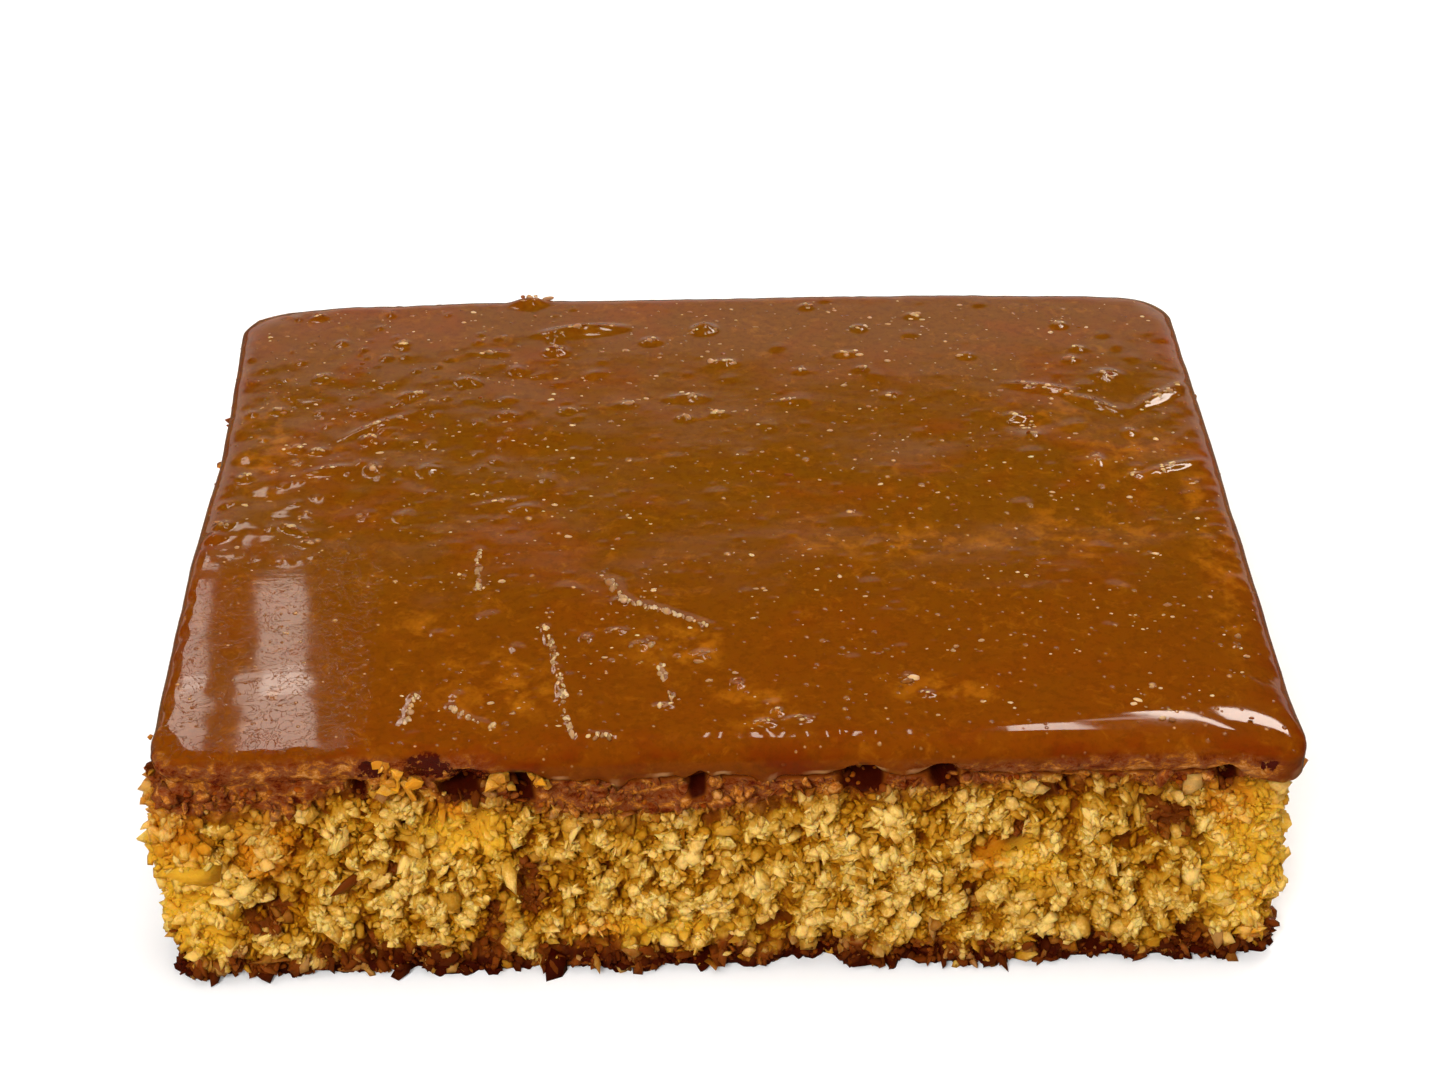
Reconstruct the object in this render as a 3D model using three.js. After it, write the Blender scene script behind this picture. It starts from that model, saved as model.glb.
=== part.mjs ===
// A cut piece of caramel-glazed semolina cake, in millimetres, +Z up.
// The origin is the centre of the base. The crumbly cut face that is seen first looks along -Y, and +X is to its right.
// Two pieces: the syrup-soaked semolina cake, and the caramel glaze that lies on it and rolls over its edge.
import * as THREE from "three";
import { ImprovedNoise } from "three/addons/math/ImprovedNoise.js";

// Driving sizes.
const WIDTH = 130; // left to right, over the glaze
const DEPTH = 103; // front to back, over the glaze
const CAKE_HEIGHT = 28; // base to the top of the crumb, under the glaze
const GLAZE_THICKNESS = 3.1; // at the corners
const CORNER_RADIUS = 4.5; // of the glaze, seen from above
const LEAST_RADIUS = 1.5; // of a corner that is taken far in
const GAP = 0.35; // between the glaze and the cake

// The glaze.
const ROLL = 3.4; // how far in from the side the top begins to round over
const ROLL_DROP = 2.6; // how far down the rounding reaches
const SKIRT_LOW = 27.1; // height of the glaze's lower edge, on average
const SKIRT_WANDER = 0.6; // how much that edge wanders up and down
const SKIRT_TUCK = 0.45; // how far the lower edge tucks in under the roll
const DOME = 1.3; // how much higher the middle of the top is than its corners
const BACK_RISE = 0.9; // how much higher still the middle of its back edge is
const TILT = 0.3; // how much the right side is higher, and the left side lower
const SWELL = 0.45; // height of the slow waves on the top
const SWELL_LENGTH = 15;

// Where the glaze is heaped or sunken: centre, length, width, turn in degrees, and height.
const LUMPS = [
  { name: "long lump near the back", x: -15.5, y: 40, length: 13, width: 5, turn: 4, height: 0.9 },
  { name: "small lump behind the middle", x: -1.5, y: 39.5, length: 7, width: 5, turn: 0, height: 0.6 },
  { name: "ridge over the pit", x: 47, y: 20.5, length: 20, width: 6, turn: 7, height: 0.8 },
  { name: "pit", x: 41, y: 14.5, length: 7, width: 6, turn: 0, height: -0.8 },
  { name: "wrinkles at the left", x: -46, y: 9, length: 22, width: 6, turn: -50, height: 0.5 },
  { name: "peak on the back rim", x: -25, y: 47.5, length: 8, width: 6, turn: 0, height: 0.8 },
];

// The cake.
const LEDGE = 1.7; // width of the step in the crumb that the glaze's edge hangs over
const EDGE_CUT = 0.7; // of the crumb's top edge, under the glaze
const FACE_INSET = 0.2; // from the side of the glaze to the clumps that stand out furthest
const SIDE_TAPER = 1.2; // how much further in the left and right walls stand at the foot
const FRONT_FLARE = 1; // how much further out the front wall stands at the foot
const UNDERCUT = 0.9; // how far the dark base crust is set back under the crumb, except at the front
const UNDERCUT_HEIGHT = 3;
const CRAG_SIZE = 5; // width of one clump of crumb
const CRAG_DEPTH = 1.5; // groove between two clumps
const GRIT_SIZE = 2.8; // width of the finer lumps on a clump
const GRIT_DEPTH = 0.5;
const PORE_SIZE = 7; // width of the torn hollows in the wall
const PORE_DEPTH = 1.8;

// A slow sideways sway of the whole outline, so that no side is ruled straight.
const SWAY = 0.7;
const SWAY_LENGTH = 42;

// How finely the two skins are divided.
const CELLS_X = 38;
const CELLS_Y = 30;
const GLAZE_COLUMNS = 2 * (CELLS_X + CELLS_Y);
const CAKE_COLUMNS = 2 * GLAZE_COLUMNS;
const WALL_ROWS = 13;
const ROLL_ROWS = 4;

const perlin = new ImprovedNoise();

// Smooth noise from about -1 to 1, with features of the given size.
function wave(x, y, z, size) {
  return perlin.noise(x / size, y / size, z / size);
}

// 0 below low, 1 above high, and a smooth step between.
function step(low, high, value) {
  return THREE.MathUtils.smoothstep(value, low, high);
}

// A repeatable number from 0 to 1 for one cell of a lattice.
function dice(i, j, k, salt) {
  let h = Math.imul(i, 374761393) ^ Math.imul(j, 668265263) ^ Math.imul(k, 1274126177) ^ Math.imul(salt, 974634777);
  h = Math.imul(h ^ (h >>> 13), 1540483477);
  h ^= h >>> 15;
  return (h >>> 0) / 4294967296;
}

// Pebbles packed in space, one to each cell of a lattice. Returns a height that is 0 in the grooves between pebbles
// and 1 on their backs, and a random number of the pebble's own.
function pebbles(x, y, z, size) {
  const at = [x / size, y / size, z / size];
  const cell = at.map(Math.floor);
  let nearest = Infinity;
  let second = Infinity;
  let own = 0;
  for (let n = 0; n < 27; n++) {
    const [i, j, k] = [cell[0] + (n % 3) - 1, cell[1] + (Math.floor(n / 3) % 3) - 1, cell[2] + Math.floor(n / 9) - 1];
    const away = Math.hypot(i + dice(i, j, k, 1) - at[0], j + dice(i, j, k, 2) - at[1], k + dice(i, j, k, 3) - at[2]);
    if (away < nearest) {
      second = nearest;
      nearest = away;
      own = dice(i, j, k, 4);
    } else if (away < second) {
      second = away;
    }
  }
  return { height: step(0, 0.55, second - nearest), own };
}

// Where a point of the unit square, u and v from -1 to 1, falls in the piece's outline seen from above, taken in by inset.
// The square's corners become the outline's round corners.
function plan(u, v, inset) {
  const half = [WIDTH / 2 - inset, DEPTH / 2 - inset];
  const radius = Math.max(LEAST_RADIUS, CORNER_RADIUS - inset);
  const flat = [u * half[0], v * half[1]];
  const past = flat.map((c, axis) => (Math.abs(c) - half[axis] + radius) / radius);
  if (past[0] <= 0 || past[1] <= 0) return flat;
  const round = [past[0] * Math.sqrt(1 - past[1] ** 2 / 2), past[1] * Math.sqrt(1 - past[0] ** 2 / 2)];
  return flat.map((c, axis) => Math.sign(c) * (half[axis] - radius + radius * round[axis]));
}

// The walk round the square's edge, anticlockwise from the front left corner, measured in cells of the top.
function walk(cells) {
  const corners = [CELLS_X, CELLS_X + CELLS_Y, 2 * CELLS_X + CELLS_Y];
  if (cells < corners[0]) return [(2 * cells) / CELLS_X - 1, -1];
  if (cells < corners[1]) return [1, (2 * (cells - corners[0])) / CELLS_Y - 1];
  if (cells < corners[2]) return [1 - (2 * (cells - corners[1])) / CELLS_X, 1];
  return [-1, 1 - (2 * (cells - corners[2])) / CELLS_Y];
}

// A point of either piece, swayed. Both pieces share the sway, so the gap between them stays even.
function placed(x, y, z) {
  return new THREE.Vector3(x + SWAY * wave(x, y, 3, SWAY_LENGTH), y + SWAY * wave(x, y, 90, SWAY_LENGTH), z);
}

// What the lumps add to the height of the glaze's top: each is a smooth mound on an ellipse.
function heaped(x, y) {
  let height = 0;
  for (const lump of LUMPS) {
    const turn = THREE.MathUtils.degToRad(lump.turn);
    const across = new THREE.Vector2(x - lump.x, y - lump.y).rotateAround(new THREE.Vector2(), -turn);
    const away = Math.hypot(across.x / (lump.length / 2), across.y / (lump.width / 2));
    height += lump.height * (1 - step(0, 1.3, away));
  }
  return height;
}

// Height of the glaze's top.
function crown(x, y) {
  const [u, v] = [(2 * x) / WIDTH, (2 * y) / DEPTH];
  const dome = DOME * (1 - 0.5 * (u ** 4 + v ** 4)) + BACK_RISE * (1 - u ** 4) * step(-0.2, 1, v);
  return CAKE_HEIGHT + GLAZE_THICKNESS + dome + TILT * u + SWELL * wave(x, y, 7, SWELL_LENGTH) + heaped(x, y);
}

// Height of the glaze's lower edge, which has run down further in some places than in others.
function skirtLow(x, y) {
  return SKIRT_LOW + SKIRT_WANDER * wave(x, y, 40, 13);
}

// How far the torn crumb stands in from its wall.
function crags(x, y, z) {
  const clump = pebbles(x, y, z, CRAG_SIZE);
  const grit = pebbles(x, y, z, GRIT_SIZE);
  const grooves = CRAG_DEPTH * (1 - clump.height) * (0.5 + clump.own);
  const lumps = GRIT_DEPTH * (1 - grit.height) + GRIT_DEPTH * grit.own;
  const hollow = PORE_DEPTH * step(0.12, 0.5, wave(x, y, z, PORE_SIZE));
  return grooves + lumps + hollow;
}

// A closed skin, gathered ring by ring.
class Skin {
  points = [];
  faces = [];

  // Adds a point and returns its number.
  add(point) {
    this.points.push(point);
    return this.points.length - 1;
  }

  // Adds a ring of points, one for each column.
  ring(columns, pointAt) {
    return Array.from({ length: columns }, (_, column) => this.add(pointAt(column)));
  }

  // Two triangles, with corners anticlockwise seen from outside.
  quad(a, b, c, d) {
    this.faces.push(a, b, c, a, c, d);
  }

  // Joins two rings. Going round the outside of a solid, from is the lower one.
  join(from, to) {
    from.forEach((_, i) => {
      const next = (i + 1) % from.length;
      this.quad(from[i], from[next], to[next], to[i]);
    });
  }

  // Closes a level ring with a flat face.
  cap(ring, facesUp) {
    const outline = ring.map((n) => new THREE.Vector2(this.points[n].x, this.points[n].y));
    for (const [a, b, c] of THREE.ShapeUtils.triangulateShape(outline, [])) {
      this.faces.push(ring[a], ring[facesUp ? b : c], ring[facesUp ? c : b]);
    }
  }

  geometry() {
    const made = new THREE.BufferGeometry().setFromPoints(this.points);
    made.setIndex(this.faces);
    made.computeVertexNormals();
    return made;
  }
}

// The crumb block: flat base, base crust, craggy wall, the step under the glaze's edge, and a flat top.
function cakeGeometry() {
  const skin = new Skin();

  // The step's height, at the place in the wall that a column of the walk belongs to.
  const stepHeight = (u, v) => skirtLow(...plan(u, v, 0)) - GAP;

  const wallRing = (row) =>
    skin.ring(CAKE_COLUMNS, (column) => {
      const [u, v] = walk(column / 2);
      const [x, y] = plan(u, v, FACE_INSET);
      const height = (stepHeight(u, v) * row) / WALL_ROWS;
      const front = 1 - step(-1, -0.85, v);
      const lean = (SIDE_TAPER * u * u - FRONT_FLARE * front) * (1 - row / WALL_ROWS);
      const undercut = UNDERCUT * (1 - front) * (1 - step(0, UNDERCUT_HEIGHT, height + wave(x, y, 60, 5)));
      return placed(...plan(u, v, FACE_INSET + Math.max(0, lean + undercut + crags(x, y, height))), height);
    });

  const upperRing = (inset, heightAt) =>
    skin.ring(CAKE_COLUMNS, (column) => {
      const [u, v] = walk(column / 2);
      return placed(...plan(u, v, inset), heightAt(u, v));
    });

  const rings = [];
  for (let row = 0; row <= WALL_ROWS; row++) rings.push(wallRing(row));
  rings.push(upperRing(LEDGE, (u, v) => stepHeight(u, v) + GAP / 2));
  rings.push(upperRing(LEDGE + EDGE_CUT, () => CAKE_HEIGHT));
  skin.cap(rings[0], false);
  rings.slice(1).forEach((ring, i) => skin.join(rings[i], ring));
  skin.cap(rings.at(-1), true);
  return skin.geometry();
}

// The glaze: waved top, rounded side, lower edge, then the inner face that follows the crumb at the gap.
function glazeGeometry() {
  const skin = new Skin();

  const grid = [];
  for (let j = 0; j <= CELLS_Y; j++) {
    grid.push([]);
    for (let i = 0; i <= CELLS_X; i++) {
      const [x, y] = plan((2 * i) / CELLS_X - 1, (2 * j) / CELLS_Y - 1, ROLL);
      grid[j].push(skin.add(placed(x, y, crown(x, y))));
    }
  }
  for (let j = 0; j < CELLS_Y; j++) {
    for (let i = 0; i < CELLS_X; i++) skin.quad(grid[j][i], grid[j][i + 1], grid[j + 1][i + 1], grid[j + 1][i]);
  }

  // The grid's own edge, in the order of the walk.
  const edge = Array.from({ length: GLAZE_COLUMNS }, (_, column) => {
    const [u, v] = walk(column);
    return grid[Math.round(((v + 1) * CELLS_Y) / 2)][Math.round(((u + 1) * CELLS_X) / 2)];
  });

  const ring = (inset, heightAt) =>
    skin.ring(GLAZE_COLUMNS, (column) => {
      const [u, v] = walk(column);
      return placed(...plan(u, v, inset), heightAt(...plan(u, v, 0)));
    });

  const rings = [edge];
  for (let row = 1; row <= ROLL_ROWS; row++) {
    const angle = (row / ROLL_ROWS) * (Math.PI / 2);
    const drop = ROLL_DROP * (1 - Math.cos(angle));
    rings.push(ring(ROLL * (1 - Math.sin(angle)), (x, y) => crown(x, y) - drop));
  }
  rings.push(ring(SKIRT_TUCK, skirtLow));
  rings.push(ring(LEDGE - GAP, (x, y) => skirtLow(x, y) + GAP));
  rings.push(ring(LEDGE - GAP + EDGE_CUT, () => CAKE_HEIGHT + GAP));
  rings.slice(1).forEach((next, i) => skin.join(next, rings[i]));
  skin.cap(rings.at(-1), false);
  return skin.geometry();
}

// Puts the centre of the base on the origin, since the sway leaves the two sides a little unequal.
function centred(group) {
  const box = new THREE.Box3().setFromObject(group);
  const middle = box.getCenter(new THREE.Vector3());
  group.children.forEach((mesh) => mesh.position.set(-middle.x, -middle.y, -box.min.z));
  return group;
}

const crumb = new THREE.MeshStandardMaterial({ color: 0xc98f2e, roughness: 0.75, metalness: 0 });
const caramel = new THREE.MeshStandardMaterial({ color: 0x8a4a0c, roughness: 0.2, metalness: 0 });

const semolinaCake = new THREE.Mesh(cakeGeometry(), crumb);
semolinaCake.name = "semolina_cake";

const caramelGlaze = new THREE.Mesh(glazeGeometry(), caramel);
caramelGlaze.name = "caramel_glaze";

export default centred(new THREE.Group().add(semolinaCake, caramelGlaze));
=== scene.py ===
"""The finish of a cut piece of caramel-glazed semolina cake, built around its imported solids.

Sizes are in millimetres until a mesh is written, and the cake's front is its -Y side. The crumb's torn walls
and the glaze are fine surfaces that stand where the two solids are. Grains, crumbs and syrup drops are
joined meshes on them.
"""

import logging
import math
from dataclasses import dataclass, field
from enum import Enum

import bmesh
import bpy
import numpy as np
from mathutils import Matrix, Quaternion, Vector

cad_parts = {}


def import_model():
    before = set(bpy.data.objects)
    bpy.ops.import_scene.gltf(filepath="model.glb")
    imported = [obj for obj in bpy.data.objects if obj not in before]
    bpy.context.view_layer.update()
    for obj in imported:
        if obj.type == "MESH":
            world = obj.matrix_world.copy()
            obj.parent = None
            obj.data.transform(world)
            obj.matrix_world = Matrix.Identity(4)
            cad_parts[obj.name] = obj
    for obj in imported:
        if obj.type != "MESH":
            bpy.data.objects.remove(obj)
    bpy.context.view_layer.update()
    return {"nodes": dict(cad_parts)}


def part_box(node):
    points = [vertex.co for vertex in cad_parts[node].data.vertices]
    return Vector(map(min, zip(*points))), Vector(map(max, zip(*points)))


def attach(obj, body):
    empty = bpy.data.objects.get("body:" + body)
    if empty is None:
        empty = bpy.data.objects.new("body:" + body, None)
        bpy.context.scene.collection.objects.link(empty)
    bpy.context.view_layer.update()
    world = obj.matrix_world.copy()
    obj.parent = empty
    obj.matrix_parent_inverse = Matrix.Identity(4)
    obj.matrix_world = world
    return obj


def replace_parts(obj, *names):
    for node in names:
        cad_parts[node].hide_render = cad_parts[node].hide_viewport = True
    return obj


MM = 0.001
BODY = "root"
CAKE_NODE = "semolina_cake"
GLAZE_NODE = "caramel_glaze"

log = logging.getLogger("basbousa")

Colour = tuple[float, float, float]
Socket = bpy.types.NodeSocket

# Odd numbers that scatter the cells of a lattice.
AXIS_PRIMES = np.array([374761393, 668265263, 1274126177], dtype=np.uint64)
SALT_FACTOR = 974634777
SALT_START = 12345
FIRST_MIXER = np.uint64(0xBF58476D1CE4E5B9)
LAST_MIXER = np.uint64(0x94D049BB133111EB)


# Noise. Every draw comes from a hash of a lattice cell or from a seeded generator, so each run gives the
# same cake.


def dice(cells: np.ndarray, salt: int) -> np.ndarray:
    """Repeatable random numbers for lattice cells.

    Args:
        cells: whole numbers, one row for each cell.
        salt: tells one set of numbers from another.

    Returns:
        One number from 0 to 1 for each row.
    """
    mixed = np.full(len(cells), salt * SALT_FACTOR + SALT_START, dtype=np.uint64)
    for axis in range(cells.shape[1]):
        mixed ^= cells[:, axis].astype(np.uint64) * AXIS_PRIMES[axis]
        mixed = (mixed ^ (mixed >> np.uint64(29))) * FIRST_MIXER
    mixed = (mixed ^ (mixed >> np.uint64(32))) * LAST_MIXER
    return (mixed >> np.uint64(40)).astype(float) / float(1 << 24)


def wave(points: np.ndarray, size: float, salt: int) -> np.ndarray:
    """Smooth gradient noise.

    Args:
        points: places in millimetres, one row each, in two or three dimensions.
        size: width of one feature.
        salt: tells one pattern from another.

    Returns:
        One number from about -1 to 1 for each row.
    """
    dimensions = points.shape[1]
    scaled = points / size
    cell = np.floor(scaled).astype(np.int64)
    part = scaled - cell
    ease = part**3 * (part * (part * 6 - 15) + 10)
    total = np.zeros(len(points))
    for corner in range(2**dimensions):
        offset = np.array([(corner >> axis) & 1 for axis in range(dimensions)])
        weight = np.prod(np.where(offset, ease, 1 - ease), axis=1)
        for axis in range(dimensions):
            slope = 2 * dice(cell + offset, salt + 17 * axis) - 1
            total += weight * slope * (part[:, axis] - offset[axis])
    return 1.6 * total


def fractal(points: np.ndarray, size: float, octaves: int, salt: int) -> np.ndarray:
    """Several octaves of wave, each half as wide and half as high as the last.

    Args:
        points: places in millimetres, one row each.
        size: width of the widest features.
        octaves: how many.
        salt: tells one pattern from another.

    Returns:
        One number from about -2 to 2 for each row.
    """
    total = np.zeros(len(points))
    for octave in range(octaves):
        total += wave(points, size / 2**octave, salt + 101 * octave) / 2**octave
    return total


def step(low: float, high: float, value: np.ndarray) -> np.ndarray:
    """0 below low, 1 above high, and a smooth step between."""
    part = np.clip((value - low) / (high - low), 0, 1)
    return part * part * (3 - 2 * part)


def mix(first: np.ndarray, second: np.ndarray, amount: np.ndarray) -> np.ndarray:
    """First where amount is 0, second where it is 1."""
    return first + (second - first) * amount


@dataclass(frozen=True)
class GrainBed:
    """A bed of uneven grains seen as relief: each lattice cell holds one grain, and the highest one shows.

    Attributes:
        spacing: distance between grains.
        width: radius of a mean grain, as a share of the spacing.
        lift: how much grains differ in height, as a share of the spacing.
        share: share of the cells that hold a grain.
        salt: tells one bed from another.
    """

    spacing: float
    width: float
    lift: float
    share: float
    salt: int

    def at(self, places: np.ndarray) -> np.ndarray:
        """Looks the bed up.

        Args:
            places: points on the wall, two columns in millimetres.

        Returns:
            The height in millimetres, 0 between grains.
        """
        scaled = places / self.spacing
        cell = np.floor(scaled).astype(np.int64)
        highest = np.zeros(len(places))
        for across in (-1, 0, 1):
            for up in (-1, 0, 1):
                near = cell + np.array([across, up])
                away = scaled - near - np.column_stack([dice(near, self.salt), dice(near, self.salt + 1)])
                turn = math.pi * dice(near, self.salt + 2)
                stretch = 0.72 + 0.56 * dice(near, self.salt + 3)
                along = (np.cos(turn) * away[:, 0] + np.sin(turn) * away[:, 1]) * stretch
                aside = (np.cos(turn) * away[:, 1] - np.sin(turn) * away[:, 0]) / stretch
                radius = self.width * (0.65 + 0.7 * dice(near, self.salt + 4))
                distance = np.hypot(along, aside) / radius
                raised = radius * (1 - np.clip(distance, 0, 1) ** 1.7)
                raised += self.lift * dice(near, self.salt + 5)
                here = (distance < 1) & (dice(near, self.salt + 6) < self.share)
                highest = np.where(here, np.maximum(highest, raised), highest)
        return highest * self.spacing


# Shapes.


@dataclass(frozen=True)
class Outline:
    """The round-cornered oblong that both the cake and the glaze follow, seen from above.

    Attributes:
        half_x: half the width.
        half_y: half the depth.
        radius: corner radius.
        pillow: how much the corners' radius grows towards the middle, for each millimetre.
    """

    half_x: float
    half_y: float
    radius: float
    pillow: float = 0.9

    def lengths(self) -> list[float]:
        """Lengths of the walk's eight stretches, which are by turns a side and a corner, the front first."""
        bend = self.radius * math.pi / 2
        wide = 2 * (self.half_x - self.radius)
        deep = 2 * (self.half_y - self.radius)
        return [wide, bend, deep, bend, wide, bend, deep, bend]

    def walk(self, distance: np.ndarray) -> tuple[np.ndarray, np.ndarray]:
        """Walks round the outline, anticlockwise from above, from the start of the front's straight part.

        Args:
            distance: how far each point is along the walk. It may be negative or go round more than once.

        Returns:
            Points and their outward normals, two columns each.
        """
        lengths = self.lengths()
        along = np.mod(distance, sum(lengths))
        points = np.zeros((len(along), 2))
        normals = np.zeros((len(along), 2))
        start = 0.0
        for stretch, length in enumerate(lengths):
            here = (along >= start) & (along <= start + length)
            part = (along[here] - start) / length
            side = stretch // 2
            cos, sin = math.cos(math.pi / 2 * side), math.sin(math.pi / 2 * side)
            spin = np.array([[cos, sin], [-sin, cos]])
            reach = (self.half_x, self.half_y) if side % 2 == 0 else (self.half_y, self.half_x)
            if stretch % 2 == 0:
                facing = np.tile([0.0, -1.0], (len(part), 1))
                local = np.column_stack([(2 * part - 1) * (reach[0] - self.radius), reach[1] * facing[:, 1]])
            else:
                angle = math.pi / 2 * part
                facing = np.column_stack([np.sin(angle), -np.cos(angle)])
                local = facing * self.radius + [reach[0] - self.radius, self.radius - reach[1]]
            points[here] = local @ spin
            normals[here] = facing @ spin
            start += length
        return points, normals

    def spread(self, square: np.ndarray, inset: np.ndarray) -> np.ndarray:
        """Lays points of the unit square out over the oblong.

        Args:
            square: points with both coordinates from -1 to 1.
            inset: how far in from the side the square's edge falls, for each point.

        Returns:
            Points in millimetres, two columns.
        """
        half = np.column_stack([self.half_x - inset, self.half_y - inset])
        radius = np.maximum(self.radius, self.radius + self.pillow * inset)[:, None]
        flat = square * half
        past = np.clip((np.abs(flat) - half + radius) / radius, 0, 1)
        shrink = np.sqrt(1 - past[:, ::-1] ** 2 / 2)
        bent = np.sign(flat) * (half - radius + radius * past * shrink)
        return np.where(np.all(past > 0, axis=1)[:, None], bent, flat)


def coordinates(mesh: bmesh.types.BMesh) -> np.ndarray:
    """All vertices of an edit mesh, one row each."""
    return np.array([vertex.co for vertex in mesh.verts])


def move(mesh: bmesh.types.BMesh, places: np.ndarray) -> None:
    """Moves every vertex of an edit mesh.

    Args:
        mesh: the edit mesh.
        places: the new places in millimetres, one row for each vertex.
    """
    for vertex, place in zip(mesh.verts, places * MM):
        vertex.co = place


@dataclass
class Copies:
    """Many copies of one small shape, joined.

    Attributes:
        points: their vertices in millimetres.
        faces: three vertex numbers for each triangle.
        offsets: each vertex's way from the middle of its copy.
        size: how many vertices a copy has.
    """

    points: np.ndarray
    faces: np.ndarray
    offsets: np.ndarray
    size: int

    def each(self, values: np.ndarray) -> np.ndarray:
        """One value or row for each copy, repeated for its vertices."""
        return np.repeat(values, self.size, axis=0)

    def settle(self, ground: float) -> None:
        """Flattens what would reach below the given height."""
        self.points[:, 2] = np.maximum(self.points[:, 2], ground)


@dataclass
class Piece:
    """A finished mesh with its attributes, ready to become an object.

    Attributes:
        name: the object's name.
        slot: the record's material slot; it is not used.
        smooth: whether faces are shaded smooth.
        attributes: a number for each vertex, by attribute name.
    """

    name: str
    slot: str
    smooth: bool = True
    attributes: dict[str, np.ndarray] = field(default_factory=dict)

    def from_bmesh(self, mesh: bmesh.types.BMesh, material: bpy.types.Material) -> bpy.types.Object:
        """Turns an edit mesh into an object of the scene.

        Args:
            mesh: the edit mesh. It is freed.
            material: the finish.

        Returns:
            The object, which sits at the origin.
        """
        data = bpy.data.meshes.new(self.name)
        mesh.to_mesh(data)
        mesh.free()
        return self.finish(data, material)

    def from_copies(self, copies: Copies, material: bpy.types.Material) -> bpy.types.Object:
        """Turns joined small shapes into an object of the scene.

        Args:
            copies: the shapes.
            material: the finish.

        Returns:
            The object, which sits at the origin.
        """
        data = bpy.data.meshes.new(self.name)
        data.from_pydata((copies.points * MM).tolist(), [], copies.faces.tolist())
        return self.finish(data, material)

    def finish(self, data: bpy.types.Mesh, material: bpy.types.Material) -> bpy.types.Object:
        """Adds attributes, shading and material, links the object and puts it on the cake's body.

        Args:
            data: the mesh.
            material: the finish.

        Returns:
            The object.
        """
        data.shade_smooth() if self.smooth else data.shade_flat()
        for name, values in self.attributes.items():
            layer = data.attributes.new(name, "FLOAT", "POINT")
            layer.data.foreach_set("value", np.asarray(values, dtype=np.float32))
        data.materials.append(material)
        data.update()
        thing = bpy.data.objects.new(self.name, data)
        bpy.context.collection.objects.link(thing)
        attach(thing, BODY)
        log.info("%s: %d faces", self.name, len(data.polygons))
        return thing


# Finishes.


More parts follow.
